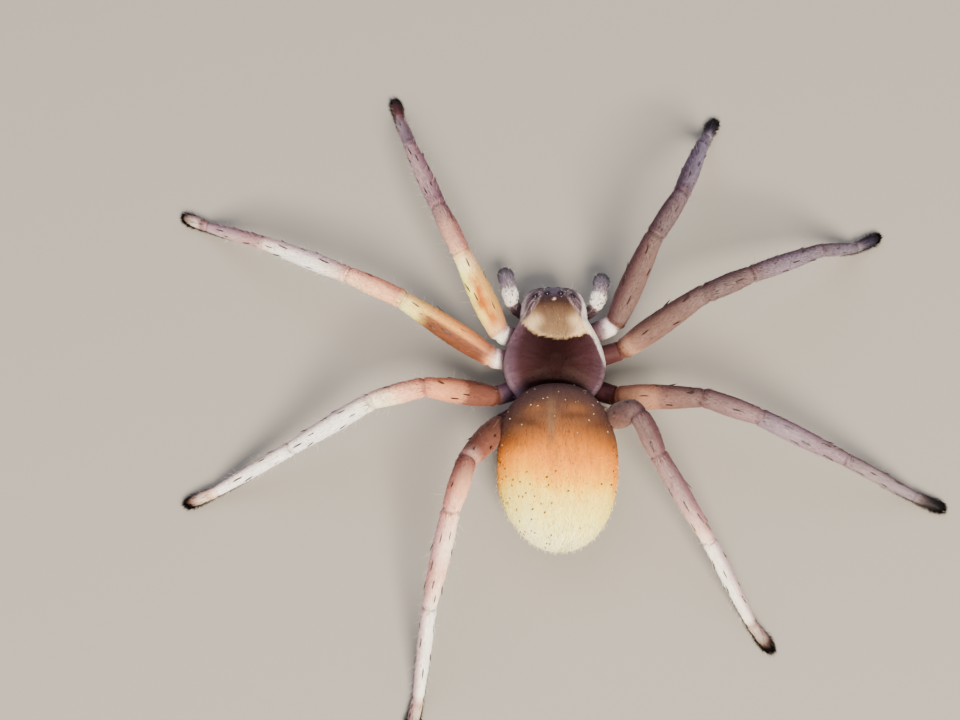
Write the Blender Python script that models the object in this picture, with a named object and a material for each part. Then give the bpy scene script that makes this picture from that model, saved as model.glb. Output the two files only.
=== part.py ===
"""A dancing white lady spider, life size, standing alert on the tips of its eight legs.

The head points along +Y, the spider's right side is at +X, and it stands on the plane z = 0.
Every leg is one smooth tube that is parted at its joints by thin cuts square to the bend.
"""
import math

import bmesh
import bpy
from mathutils import Matrix, Vector

# Sizes are in millimetres and angles in degrees; at() and MM turn them to metres.
MM = 0.001
GAP = 0.3
EYE_GAP = 0.12
BODY_X = 0.4
BODY_Y = 2.3

# Legs: lengths of femur, patella, tibia, metatarsus and tarsus, by pair from the front.
LEG_LENGTHS = {
    1: (12.3, 7.0, 11.6, 10.9, 3.6),
    2: (13.4, 7.0, 12.5, 11.3, 4.0),
    3: (11.6, 6.5, 12.0, 11.2, 4.0),
    4: (12.6, 6.4, 11.8, 11.8, 4.0),
}
PIECES = ("coxa", "femur", "patella", "tibia", "metatarsus", "tarsus")
JOINT_RADII = (1.18, 1.25, 1.18, 1.06, 0.88, 0.7, 0.6)
MIDDLE_RADII = (1.35, 1.62, 1.3, 1.2, 0.92, 0.8)
MIDDLE_AT = (0.5, 0.36, 0.5, 0.34, 0.3, 0.6)
LEG_SIDES = 10
BEND_RADIUS = 2.0
BEND_STEP = 26.0
OVERRUN = 1.1
HIP_Z = 5.4
ANKLE_Z = 1.2
TOE_Z = 0.46

# Spines: piece, share of its length, turn round the leg from its upper side, for both sides.
SPINES = (
    (1, 0.42, 0),
    (1, 0.6, 62),
    (1, 0.6, -62),
    (1, 0.84, 0),
    (3, 0.22, 8),
    (3, 0.34, 78),
    (3, 0.34, -78),
    (3, 0.66, -6),
    (3, 0.74, 78),
    (3, 0.74, -78),
    (4, 0.16, 78),
    (4, 0.16, -78),
    (4, 0.5, 70),
    (4, 0.5, -70),
)
SPINE_LENGTH = 1.4
SPINE_SINK = 0.9
SPINE_RISE = 24.0
SPINE_RADIUS = 0.27
SPINE_TIP = 0.07
SPINE_SIDES = 5
CLAW_SPREAD = 0.26
CLAW_SINK = 0.7
CLAW_LENGTH = 1.25
CLAW_DROP = 9.0

# Where each pair's coxae start beside the breast plate, as distance from the midline and y.
COXA_ROOTS = {1: (2.35, 2.4), 2: (3.2, -0.3), 3: (3.2, -3.2), 4: (2.1, -5.7)}
ROOT_Z = 4.7

# The stance: the hip's place, outward turns of the five pieces from straight ahead, and the
# slopes of femur, patella and tibia. The last two pieces slope down to the ground by themselves.
STANCE = {
    "leg_1_left": ((6.5, 3.2), (32, 23, 19, 13, 14), (40, -8, -21)),
    "leg_1_right": ((7.5, 4.5), (30, 32, 21, 19, 25), (50, 3, -27)),
    "leg_2_left": ((7.5, 0.1), (61, 64, 63, 58, 62), (18, -1, -11)),
    "leg_2_right": ((8.3, 1.1), (72, 63, 59.5, 57, 60), (49, -8, -25)),
    "leg_3_left": ((7.2, -4.9), (102.5, 100, 111, 113, 111), (44, -15, -30)),
    "leg_3_right": ((7.5, -4.9), (104, 109, 110, 107, 111), (31, -4, -20)),
    "leg_4_left": ((6.6, -8.5), (153, 164, 165, 171, 167), (48, 11, -36)),
    "leg_4_right": ((6.8, -7.9), (148, 148, 145, 146, 143), (75, -41, -27)),
}

# Carapace: its outline seen from above and the height of its ridge, from front to rear.
CARAPACE = (
    # y, half width, top
    (8.4, 2.3, 8.0),
    (7.9, 3.15, 8.7),
    (6.8, 3.85, 9.3),
    (5.4, 4.15, 9.6),
    (4.3, 4.25, 9.7),
    (3.4, 4.7, 9.75),
    (1.8, 5.45, 9.9),
    (0.0, 6.05, 9.9),
    (-1.7, 6.25, 9.7),
    (-3.3, 6.0, 9.2),
    (-4.7, 5.3, 8.5),
    (-5.9, 4.1, 7.7),
    (-6.6, 2.6, 7.2),
)
RIM_Z = 6.9
RIM_THICK = 0.35
UNDERSIDE_Z = 6.5
DOME_POWER = 0.86
DOME_STEPS = 12

# Abdomen: an egg on a slanted axis that sways to the right, blunt in front and tapered behind.
ABDOMEN_FRONT = (-4.7, 8.9)
ABDOMEN_REAR = (-24.2, 5.9)
ABDOMEN_HALF_WIDTH = 7.15
ABDOMEN_HALF_HEIGHT = 5.6
ABDOMEN_BLUNTNESS = 2.4
ABDOMEN_TAPER = 2.05
ABDOMEN_SWAY = 0.25
ABDOMEN_RINGS = 15
ABDOMEN_SIDES = 24

STERNUM_Z = (3.4, 6.15)
STERNUM_FRONT = 4.6
STERNUM_REAR = -6.9
PEDICEL_Z = 5.6
PEDICEL_RADIUS = 0.65
PEDICEL_LENGTH = 1.7

# Spinnerets: their shared root under the abdomen's end, then each one's place on it and size.
SPINNERET_ROOT = (0.4, -21.6, 3.1)
SPINNERET_SLOPE = -60.0
SPINNERET_BASE = 1.0
SPINNERETS = (
    # across, drop, radius, length
    (-0.42, 0.3, 0.36, 1.5),
    (0.42, 0.3, 0.36, 1.5),
    (-0.4, -0.45, 0.32, 1.3),
    (0.4, -0.45, 0.32, 1.3),
)

# Face: chelicerae with their fangs folded under, feelers, and eight eyes in two rows.
CHELICERA_TOP = (1.66, 6.9, 6.2)
CHELICERA_TIP = (1.6, 8.6, 2.3)
CHELICERA_RADII = (1.25, 1.5, 1.4, 0.95)
FANG_POINTS = ((0.0, 0.55, -0.62), (-0.1, 0.1, -1.05), (-0.25, -0.9, -1.15), (-0.3, -1.7, -0.9))
FANG_RADII = (0.34, 0.36, 0.27, 0.08)
PALP_TOP = 6.2
PALP_SPREAD = {"left": 0.99, "right": 1.07}
PALP_REACH = {"left": 1.0, "right": 0.88}
PALP = (
    # distance from the midline, y, z, radius
    (2.9, 5.0, 6.7, 0.62),
    (3.35, 5.5, 5.6, 0.65),
    (4.0, 6.2, 5.0, 0.7),
    (4.8, 7.2, 5.05, 0.84),
    (5.35, 8.6, 5.95, 1.0),
    (5.6, 9.9, 5.75, 0.96),
    (5.75, 11.1, 4.9, 1.04),
    (5.85, 12.0, 3.8, 0.96),
    (5.85, 12.4, 2.9, 0.5),
)
EYES = (
    # name, distance from the midline, y, z, radius
    ("eye_rear_middle", 0.82, 7.12, 9.02, 0.25),
    ("eye_rear_outer", 2.25, 6.85, 8.74, 0.3),
    ("eye_front_middle", 0.6, 8.25, 7.95, 0.32),
    ("eye_front_outer", 1.55, 8.1, 7.85, 0.36),
)

CREAM = (0.78, 0.58, 0.42)
MAUVE = (0.46, 0.31, 0.33)
PALE = (0.74, 0.66, 0.66)
PLUM = (0.26, 0.17, 0.19)
DARK = (0.03, 0.025, 0.03)
LEG_COLOURS = {"coxa": MAUVE, "femur": CREAM, "patella": MAUVE, "tibia": PALE, "metatarsus": PALE}


def at(x: float, y: float, z: float) -> Vector:
    """Returns a place given in the body's own frame, in metres in the part's frame."""
    return Vector((BODY_X + x, BODY_Y + y, z)) * MM


def direction(turn: float, slope: float) -> Vector:
    """Returns the direction turned from +Y towards +X and raised by a slope."""
    flat = math.cos(math.radians(slope))
    east = math.sin(math.radians(turn)) * flat
    north = math.cos(math.radians(turn)) * flat
    return Vector((east, north, math.sin(math.radians(slope))))


def finish(name: str, colour: tuple, roughness: float) -> bpy.types.Material:
    """Returns a plain material of one colour."""
    material = bpy.data.materials.new(name)
    material.use_nodes = True
    shader = material.node_tree.nodes["Principled BSDF"]
    shader.inputs["Base Color"].default_value = (*colour, 1.0)
    shader.inputs["Roughness"].default_value = roughness
    shader.inputs["Metallic"].default_value = 0.0
    return material


def new_node(name: str, bm: bmesh.types.BMesh, colour: tuple, roughness: float = 0.8):
    """Turns a closed bmesh into a named object with its own material."""
    bmesh.ops.recalc_face_normals(bm, faces=bm.faces)
    mesh = bpy.data.meshes.new(name)
    bm.to_mesh(mesh)
    bm.free()
    mesh.shade_smooth()
    mesh.materials.append(finish(name, colour, roughness))
    node = bpy.data.objects.new(name, mesh)
    bpy.context.scene.collection.objects.link(node)
    return node


def ring_frame(centre: Vector, forward: Vector, side: Vector) -> Matrix:
    """Returns the placing of a ring whose own Z runs forward and whose X lies to the side."""
    forward = forward.normalized()
    across = (side - forward * side.dot(forward)).normalized()
    up = forward.cross(across)
    frame = Matrix((across, up, forward)).transposed().to_4x4()
    frame.translation = centre
    return frame


def loft(stations: list, sides: int, side: Vector) -> bmesh.types.BMesh:
    """Builds a closed tube through rings given as centre, direction and radius in metres."""
    bm = bmesh.new()
    rings = []
    for centre, forward, radius in stations:
        frame = ring_frame(centre, forward, side)
        made = bmesh.ops.create_circle(bm, segments=sides, radius=radius, matrix=frame)
        rings.append(made["verts"])
    for low, high in zip(rings, rings[1:]):
        for k in range(sides):
            j = (k + 1) % sides
            bm.faces.new((low[k], low[j], high[j], high[k]))
    bm.faces.new(rings[0])
    bm.faces.new(rings[-1])
    return bm


def cut_flat(bm: bmesh.types.BMesh, point: Vector, outward: Vector) -> None:
    """Cuts away what lies past a plane and closes the cut with a flat face."""
    everything = bm.verts[:] + bm.edges[:] + bm.faces[:]
    bmesh.ops.bisect_plane(bm, geom=everything, plane_co=point, plane_no=outward, clear_outer=True)
    rim = [edge for edge in bm.edges if edge.is_boundary]
    bmesh.ops.holes_fill(bm, edges=rim, sides=0)


def keep_largest(node: bpy.types.Object) -> None:
    """Keeps only the closed surface with the most faces."""
    bm = bmesh.new()
    bm.from_mesh(node.data)
    seen = set()
    shells = []
    for first in bm.verts:
        if first in seen:
            continue
        shell = []
        ahead = [first]
        seen.add(first)
        while ahead:
            vert = ahead.pop()
            shell.append(vert)
            near = [edge.other_vert(vert) for edge in vert.link_edges]
            fresh = [other for other in near if other not in seen]
            seen.update(fresh)
            ahead.extend(dict.fromkeys(fresh))
        shells.append(shell)
    shells.sort(key=len)
    for shell in shells[:-1]:
        bmesh.ops.delete(bm, geom=shell, context="VERTS")
    bm.to_mesh(node.data)
    bm.free()


def combine(node: bpy.types.Object, tools: list, operation: str) -> None:
    """Applies one Boolean with closed meshes, removes them and keeps the largest surface."""
    group = bpy.data.collections.new("tools")
    bpy.context.scene.collection.children.link(group)
    for tool in tools:
        bpy.context.scene.collection.objects.unlink(tool)
        group.objects.link(tool)
    change = node.modifiers.new("combine", "BOOLEAN")
    change.operation = operation
    change.operand_type = "COLLECTION"
    change.collection = group
    with bpy.context.temp_override(object=node, active_object=node, selected_objects=[node]):
        bpy.ops.object.modifier_apply(modifier=change.name)
    for tool in tools:
        bpy.data.objects.remove(tool)
    bpy.data.collections.remove(group)
    keep_largest(node)


def mesh_of(node: bpy.types.Object) -> bmesh.types.BMesh:
    """Returns a copy of a node's mesh."""
    bm = bmesh.new()
    bm.from_mesh(node.data)
    return bm


def swollen(bm: bmesh.types.BMesh) -> bpy.types.Object:
    """Moves a closed surface outward by the gap and returns it as a cutter."""
    bmesh.ops.recalc_face_normals(bm, faces=bm.faces)
    bm.normal_update()
    moves = [(vert, vert.normal * vert.calc_shell_factor() * GAP * MM) for vert in bm.verts]
    for vert, move in moves:
        vert.co += move
    return new_node("swollen", bm, DARK)


# Legs

def leg_corners(name: str) -> list:
    """Returns the corners of a leg's middle line, from its root on the breast to its toe."""
    pair = int(name[4])
    mirror = -1 if name.endswith("left") else 1
    hip, turns, slopes = STANCE[name]
    root = COXA_ROOTS[pair]
    corners = [at(mirror * root[0], root[1], ROOT_Z), at(mirror * hip[0], hip[1], HIP_Z)]
    drops = {3: ANKLE_Z * MM, 4: TOE_Z * MM}
    for k, (length, turn) in enumerate(zip(LEG_LENGTHS[pair], turns)):
        start = corners[-1]
        if k in drops:
            slope = math.degrees(math.asin((drops[k] - start.z) / (length * MM)))
        else:
            slope = slopes[k]
        corners.append(start + direction(mirror * turn, slope) * length * MM)
    return corners


def radius_at(piece: int, share: float) -> float:
    """Returns a leg's radius at a share of a piece's length, in metres."""
    middle = MIDDLE_AT[piece]
    if share < middle:
        start, mix = JOINT_RADII[piece], share / middle
    else:
        start, mix = JOINT_RADII[piece + 1], (1.0 - share) / (1.0 - middle)
    ease = math.sin(mix * math.pi / 2)
    return (start + (MIDDLE_RADII[piece] - start) * ease) * MM


def bend(corners: list, k: int) -> tuple:
    """Returns how far back from corner k its bend starts, its angle, and its middle plane."""
    before = (corners[k] - corners[k - 1]).normalized()
    after = (corners[k + 1] - corners[k]).normalized()
    angle = before.angle(after)
    back = BEND_RADIUS * MM * math.tan(angle / 2)
    forward = (before + after).normalized()
    inward = (after - before).normalized()
    depth = BEND_RADIUS * MM * (1 / math.cos(angle / 2) - 1)
    return back, angle, corners[k] + inward * depth, forward


def bend_stations(corners: list, k: int) -> list:
    """Returns the rings round the bend at corner k."""
    back, angle, _, _ = bend(corners, k)
    before = (corners[k] - corners[k - 1]).normalized()
    after = (corners[k + 1] - corners[k]).normalized()
    inward = (after - before * after.dot(before)).normalized()
    steps = max(1, round(math.degrees(angle) / BEND_STEP))
    radius = JOINT_RADII[k] * MM
    stations = []
    for n in range(steps + 1):
        part = angle * n / steps
        along = before * math.sin(part) + inward * (1 - math.cos(part))
        centre = corners[k] - before * back + along * BEND_RADIUS * MM
        stations.append((centre, before * math.cos(part) + inward * math.sin(part), radius))
    return stations


def piece_stations(corners: list, k: int) -> list:
    """Returns the rings of piece k between the bends at its two ends."""
    start, end = corners[k], corners[k + 1]
    length = (end - start).length
    first = bend(corners, k)[0] if k > 0 else 0.0
    last = bend(corners, k + 1)[0] if k + 2 < len(corners) else 0.0
    forward = (end - start).normalized()
    stations = []
    for share in (0.1, 0.22, MIDDLE_AT[k], 0.62, 0.82):
        if first / length + 0.06 < share < 1 - last / length - 0.06:
            stations.append((start + forward * share * length, forward, radius_at(k, share)))
    return stations


def leg_piece(corners: list, k: int, side: Vector) -> bmesh.types.BMesh:
    """Builds piece k of a leg, cut half a gap short of the joints at its ends."""
    stations = piece_stations(corners, k)
    if k > 0:
        centre, forward, radius = bend_stations(corners, k)[0]
        stations = bend_stations(corners, k) + stations
        stations.insert(0, (centre - forward * OVERRUN * MM, forward, radius))
    else:
        forward = (corners[1] - corners[0]).normalized()
        stations.insert(0, (corners[0], forward, radius_at(0, 0.0)))
    if k + 2 < len(corners):
        stations += bend_stations(corners, k + 1)
        centre, forward, radius = stations[-1]
        stations.append((centre + forward * OVERRUN * MM, forward, radius))
    bm = loft(stations, LEG_SIDES, side)
    if k > 0:
        _, _, middle, forward = bend(corners, k)
        cut_flat(bm, middle + forward * GAP / 2 * MM, -forward)
    if k + 2 < len(corners):
        _, _, middle, forward = bend(corners, k + 1)
        cut_flat(bm, middle - forward * GAP / 2 * MM, forward)
    return bm


def foot(corners: list, side: Vector) -> bmesh.types.BMesh:
    """Builds the last two pieces as one, with a rounded toe and a small flat sole at z = 0."""
    stations = bend_stations(corners, 4)
    centre, forward, radius = stations[0]
    stations.insert(0, (centre - forward * OVERRUN * MM, forward, radius))
    stations += piece_stations(corners, 4)
    stations += bend_stations(corners, 5)
    stations += piece_stations(corners, 5)
    forward = (corners[6] - corners[5]).normalized()
    for back, share in ((0.3, 1.0), (0.0, 0.62)):
        stations.append((corners[6] - forward * back * MM, forward, JOINT_RADII[6] * share * MM))
    bm = loft(stations, LEG_SIDES, side)
    _, _, middle, forward = bend(corners, 4)
    cut_flat(bm, middle + forward * GAP / 2 * MM, -forward)
    cut_flat(bm, Vector((0.0, 0.0, 0.0)), Vector((0.0, 0.0, -1.0)))
    return bm


def cone(root: Vector, along: Vector, length: float, radius: float) -> bpy.types.Object:
    """Returns a slender closed cone for a spine or a claw, its length and radius in metres."""
    rings = [(root, along, radius), (root + along * length, along, SPINE_TIP * MM)]
    return new_node("cone", loft(rings, SPINE_SIDES, along.orthogonal()), DARK)


def spines(corners: list, k: int, side: Vector) -> list:
    """Returns the spines of piece k, which lean towards the foot, their roots sunk in it."""
    start, end = corners[k], corners[k + 1]
    forward = (end - start).normalized()
    across = (side - forward * side.dot(forward)).normalized()
    up = across.cross(forward)
    made = []
    for piece, share, turn in SPINES:
        if piece == k:
            outward = up * math.cos(math.radians(turn)) + across * math.sin(math.radians(turn))
            lean = math.radians(SPINE_RISE)
            along = forward * math.cos(lean) + outward * math.sin(lean)
            foot_at = start.lerp(end, share) + outward * radius_at(k, share)
            root = foot_at - along * SPINE_SINK * MM
            made.append(cone(root, along, (SPINE_SINK + SPINE_LENGTH) * MM, SPINE_RADIUS * MM))
    return made


def claws(corners: list, side: Vector) -> list:
    """Returns the two claws that stand out from the toe, their roots sunk in it."""
    forward = corners[6] - corners[5]
    level = Vector((forward.x, forward.y, 0.0)).normalized()
    along = (level - Vector((0.0, 0.0, math.tan(math.radians(CLAW_DROP))))).normalized()
    made = []
    for mirror in (-1, 1):
        root = corners[6] - level * CLAW_SINK * MM + side * CLAW_SPREAD * mirror * MM
        made.append(cone(root, along, CLAW_LENGTH * MM, SPINE_RADIUS * MM))
    return made


def leg_side(corners: list) -> Vector:
    """Returns the level direction square to a leg's reach."""
    reach = corners[-1] - corners[1]
    return Vector((reach.y, -reach.x, 0.0)).normalized()


def rear_leg_roots() -> list:
    """Returns plain meshes of the rear legs' coxae and femora, to press the abdomen in."""
    rear = [leg_corners(name) for name in STANCE if name.startswith("leg_4")]
    return [leg_piece(corners, k, leg_side(corners)) for corners in rear for k in (0, 1)]


def build_leg(name: str) -> None:
    """Builds a leg's five nodes: coxa, femur, patella, tibia, and metatarsus with tarsus."""
    corners = leg_corners(name)
    side = leg_side(corners)
    for k, piece in enumerate(PIECES[:5]):
        shape = leg_piece(corners, k, side) if k < 4 else foot(corners, side)
        node = new_node(f"{name}_{piece}", shape, LEG_COLOURS[piece])
        growths = spines(corners, k, side)
        if k == 4:
            growths += claws(corners, side)
        if growths:
            combine(node, growths, "UNION")


# Body

def carapace_section(half_width: float, top: float) -> list:
    """Returns one cross-section of the carapace as places across and up, in millimetres."""
    points = []
    for n in range(DOME_STEPS + 1):
        angle = math.pi * n / DOME_STEPS
        across = math.copysign(abs(math.cos(angle)) ** DOME_POWER, math.cos(angle))
        rise = math.sin(angle) ** DOME_POWER
        points.append((half_width * across, RIM_Z + (top - RIM_Z) * rise))
    points.append((-half_width, RIM_Z - RIM_THICK))
    points.append((-half_width * 0.55, UNDERSIDE_Z))
    points.append((half_width * 0.55, UNDERSIDE_Z))
    points.append((half_width, RIM_Z - RIM_THICK))
    return points


def build_cephalothorax() -> bpy.types.Object:
    """Builds the carapace, flat below and domed above."""
    bm = bmesh.new()
    rings = []
    for y, half_width, top in CARAPACE:
        section = carapace_section(half_width, top)
        rings.append([bm.verts.new(at(x, y, z)) for x, z in section])
    for low, high in zip(rings, rings[1:]):
        for k, vert in enumerate(low):
            j = (k + 1) % len(low)
            bm.faces.new((vert, low[j], high[j], high[k]))
    bm.faces.new(rings[0])
    bm.faces.new(rings[-1])
    return new_node("cephalothorax", bm, PLUM)


def facet(pair: int, mirror: int) -> list:
    """Returns the two ends of the breast plate's side that faces a coxa's root."""
    hips = [STANCE[f"leg_{pair}_{side}"][0] for side in ("left", "right")]
    hip = hips[0] if mirror < 0 else hips[1]
    root = Vector((mirror * COXA_ROOTS[pair][0], COXA_ROOTS[pair][1]))
    outward = (Vector((mirror * hip[0], hip[1])) - root).normalized()
    along = Vector((-outward.y, outward.x)) * mirror * (JOINT_RADII[0] + 0.04)
    middle = root - outward * GAP
    return [middle + along, middle - along]


def build_sternum() -> bpy.types.Object:
    """Builds the breast with one side facing each coxa, as an outline raised to its height."""
    right = [(1.0, STERNUM_FRONT)]
    left = [(-1.0, STERNUM_FRONT)]
    for pair in COXA_ROOTS:
        right += [tuple(point) for point in facet(pair, 1)]
        left += [tuple(point) for point in facet(pair, -1)]
    outline = right + [(0.7, STERNUM_REAR), (-0.7, STERNUM_REAR)] + left[::-1]
    bm = bmesh.new()
    plate = bm.faces.new([bm.verts.new(at(x, y, STERNUM_Z[0])) for x, y in outline])
    raised = bmesh.ops.extrude_face_region(bm, geom=[plate])["geom"]
    top = [item for item in raised if isinstance(item, bmesh.types.BMVert)]
    rise = Vector((0.0, 0.0, (STERNUM_Z[1] - STERNUM_Z[0]) * MM))
    bmesh.ops.translate(bm, verts=top, vec=rise)
    return new_node("sternum", bm, PLUM)


def build_abdomen(neighbours: list) -> bpy.types.Object:
    """Builds the egg of the abdomen, pressed in where it lies against its neighbours."""
    front = at(0.0, *ABDOMEN_FRONT)
    rear = at(0.0, *ABDOMEN_REAR)
    forward = (rear - front).normalized()
    sway = Vector((ABDOMEN_SWAY * MM, 0.0, 0.0))
    bm = bmesh.new()
    rings = []
    for n in range(1, ABDOMEN_RINGS):
        share = 0.5 - 0.5 * math.cos(math.pi * n / ABDOMEN_RINGS)
        power = ABDOMEN_BLUNTNESS if share < 0.5 else ABDOMEN_TAPER
        size = (1 - abs(2 * share - 1) ** power) ** (1 / power) * MM
        centre = front.lerp(rear, share) + sway * share ** 2
        frame = ring_frame(centre, forward, Vector((1.0, 0.0, 0.0)))
        shape = Matrix.Diagonal((ABDOMEN_HALF_WIDTH * size, ABDOMEN_HALF_HEIGHT * size, 1.0, 1.0))
        made = bmesh.ops.create_circle(bm, segments=ABDOMEN_SIDES, radius=1.0, matrix=frame @ shape)
        rings.append(made["verts"])
    for low, high in zip(rings, rings[1:]):
        for k in range(ABDOMEN_SIDES):
            j = (k + 1) % ABDOMEN_SIDES
            bm.faces.new((low[k], low[j], high[j], high[k]))
    for ring, tip in ((rings[0], front), (rings[-1], rear + sway)):
        pole = bm.verts.new(tip)
        for k in range(ABDOMEN_SIDES):
            bm.faces.new((ring[k], ring[(k + 1) % ABDOMEN_SIDES], pole))
    abdomen = new_node("abdomen", bm, CREAM)
    combine(abdomen, [swollen(bm) for bm in neighbours], "DIFFERENCE")
    return abdomen


def build_pedicel(abdomen: bpy.types.Object) -> None:
    """Builds the waist between breast and abdomen, its end in a pocket of the abdomen."""
    start = at(0.0, STERNUM_REAR - GAP, PEDICEL_Z)
    end = start - Vector((0.0, PEDICEL_LENGTH * MM, 0.0))
    back = Vector((0.0, -1.0, 0.0))
    side = Vector((1.0, 0.0, 0.0))
    radius = PEDICEL_RADIUS * MM
    waist = new_node("pedicel", loft([(start, back, radius), (end, back, radius)], 10, side), PLUM)
    combine(abdomen, [swollen(mesh_of(waist))], "DIFFERENCE")


def build_spinnerets(abdomen: bpy.types.Object) -> None:
    """Builds four short spinnerets on one root, set in a pocket under the abdomen's end."""
    root = at(*SPINNERET_ROOT)
    back = direction(180, SPINNERET_SLOPE)
    side = Vector((1.0, 0.0, 0.0))
    down = ring_frame(root, back, side).col[1].to_3d()
    radius = SPINNERET_BASE * MM
    top = root + back * radius
    cluster = new_node("spinnerets", loft([(root, back, radius), (top, back, radius * 0.9)], 12, side), PLUM)
    fingers = []
    for across, drop, thickness, length in SPINNERETS:
        foot_at = root + (side * across + down * drop) * MM + back * radius / 2
        tip = foot_at + (back + side * across * 0.3) * length * MM
        rings = [(foot_at, back, thickness * MM), (tip, back, thickness * 0.75 * MM)]
        fingers.append(new_node("finger", loft(rings, 7, side), PLUM))
    combine(cluster, fingers, "UNION")
    wide = radius + GAP * MM
    pocket = [(root - back * GAP * MM, back, wide), (root + back * 2.6 * MM, back, wide)]
    combine(abdomen, [new_node("pocket", loft(pocket, 12, side), PLUM)], "DIFFERENCE")


def tube_through(points: list, radii: tuple, sides: int, side: Vector) -> bmesh.types.BMesh:
    """Builds a closed tube through points, each ring square to the line there."""
    stations = []
    for k, (point, radius) in enumerate(zip(points, radii)):
        before = points[max(k - 1, 0)]
        after = points[min(k + 1, len(points) - 1)]
        stations.append((point, after - before, radius * MM))
    return loft(stations, sides, side)


def build_chelicera(side_name: str, mirror: int) -> None:
    """Builds a chelicera that hangs from under the head, and the fang folded under it."""
    top = at(mirror * CHELICERA_TOP[0], *CHELICERA_TOP[1:])
    tip = at(mirror * CHELICERA_TIP[0], *CHELICERA_TIP[1:])
    side = Vector((1.0, 0.0, 0.0))
    points = [top.lerp(tip, share) for share in (-0.05, 0.3, 0.72, 1.0)]
    bm = tube_through(points, CHELICERA_RADII, 12, side)
    cut_flat(bm, top, Vector((0.0, 0.0, 1.0)))
    new_node(f"chelicera_{side_name}", bm, PLUM, 0.5)
    points = [tip + Vector((mirror * x, y, z)) * MM for x, y, z in FANG_POINTS]
    new_node(f"fang_{side_name}", tube_through(points, FANG_RADII, 8, side), DARK, 0.3)


def build_palp(side_name: str, mirror: int) -> None:
    """Builds a feeler that hangs from beside the mouth and arches over to before the head."""
    spread, reach, base = PALP_SPREAD[side_name], PALP_REACH[side_name], PALP[0][1]
    points = [at(mirror * x * spread, base + (y - base) * reach, z) for x, y, z, _ in PALP]
    radii = tuple(radius for _, _, _, radius in PALP)
    side = Vector((1.0, -0.4 * mirror, 0.0)).normalized()
    bm = tube_through(points, radii, 10, side)
    cut_flat(bm, at(0.0, 0.0, PALP_TOP), Vector((0.0, 0.0, 1.0)))
    new_node(f"pedipalp_{side_name}", bm, PALE)


def build_eyes(carapace: bpy.types.Object) -> None:
    """Builds the eight eyes, each sunk in a socket cut in the carapace."""
    sockets = []
    for name, across, y, z, radius in EYES:
        for side_name, mirror in (("left", -1), ("right", 1)):
            place = Matrix.Translation(at(mirror * across, y, z))
            for label, size in ((f"{name}_{side_name}", radius), ("socket", radius + EYE_GAP)):
                bm = bmesh.new()
                bmesh.ops.create_icosphere(bm, subdivisions=2, radius=size * MM, matrix=place)
                made = new_node(label, bm, DARK, 0.1)
                if label == "socket":
                    sockets.append(made)
    combine(carapace, sockets, "DIFFERENCE")


def main() -> None:
    """Builds the whole spider."""
    for old in list(bpy.data.objects):
        bpy.data.objects.remove(old)
    carapace = build_cephalothorax()
    sternum = build_sternum()
    abdomen = build_abdomen([mesh_of(carapace), mesh_of(sternum), *rear_leg_roots()])
    build_pedicel(abdomen)
    build_spinnerets(abdomen)
    for side_name, mirror in (("left", -1), ("right", 1)):
        build_chelicera(side_name, mirror)
        build_palp(side_name, mirror)
    build_eyes(carapace)
    for name in STANCE:
        build_leg(name)


main()
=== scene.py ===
"""The looks of a dancing white lady spider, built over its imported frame.

One skin stands for all nodes of flesh. Over it lie the short coat, the spines, the foot brushes
and a few long bristles, all as solid meshes, with eyes, fangs and claws as pieces of their own.
Lengths are in millimetres in the spider's own frame until they are placed.
"""
import logging
import math
from dataclasses import dataclass, field, replace
from enum import Enum
from typing import Callable, Iterator, Sequence

import bpy
import numpy as np
from bpy.types import Material, Mesh, Node, NodeTree, Object
from mathutils import Euler, Matrix, Vector


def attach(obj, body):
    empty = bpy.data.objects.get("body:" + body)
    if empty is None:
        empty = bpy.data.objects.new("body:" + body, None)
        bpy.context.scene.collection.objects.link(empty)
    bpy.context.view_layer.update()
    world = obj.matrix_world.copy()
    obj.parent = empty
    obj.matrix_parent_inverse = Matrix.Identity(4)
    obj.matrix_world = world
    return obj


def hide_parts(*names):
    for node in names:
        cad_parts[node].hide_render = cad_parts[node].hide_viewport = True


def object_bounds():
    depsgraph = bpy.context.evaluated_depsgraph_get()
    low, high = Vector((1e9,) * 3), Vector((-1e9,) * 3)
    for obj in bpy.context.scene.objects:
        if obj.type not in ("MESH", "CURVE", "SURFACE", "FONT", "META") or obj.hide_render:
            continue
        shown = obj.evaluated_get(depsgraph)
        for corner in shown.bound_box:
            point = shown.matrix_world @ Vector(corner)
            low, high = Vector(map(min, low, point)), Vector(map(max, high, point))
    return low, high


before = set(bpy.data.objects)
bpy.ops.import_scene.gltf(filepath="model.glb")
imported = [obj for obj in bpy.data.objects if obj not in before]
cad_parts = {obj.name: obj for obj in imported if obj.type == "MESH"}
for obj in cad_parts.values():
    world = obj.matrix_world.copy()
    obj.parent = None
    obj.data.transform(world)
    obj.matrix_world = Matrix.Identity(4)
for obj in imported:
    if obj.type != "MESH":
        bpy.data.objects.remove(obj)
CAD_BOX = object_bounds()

Array = np.ndarray

LOG = logging.getLogger("spider")
MM = 0.001
# where the spider's own frame stands in the model's frame, in millimetres
BODY_PLACE = np.array((0.4, 2.3, 0.0))
# the skin lies this far under the solids' surface, and the short coat fills the gap, in millimetres
COAT_DEPTH = 0.1
# painted colours are raised to this power, because soft light washes them out
TINT_DEPTH = 1.4
# edges that bend by less than this are shaded smooth
SMOOTH_BELOW = math.radians(50)
# the way from the spider to the photograph's camera
SEEN_FROM = np.array((0.0, -0.37, 0.93))


class Side(Enum):
    """The spider's two sides, as the sign of x."""

    LEFT = -1
    RIGHT = 1

    @property
    def word(self) -> str:
        """The side as the nodes' names have it."""
        return self.name.lower()


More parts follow.
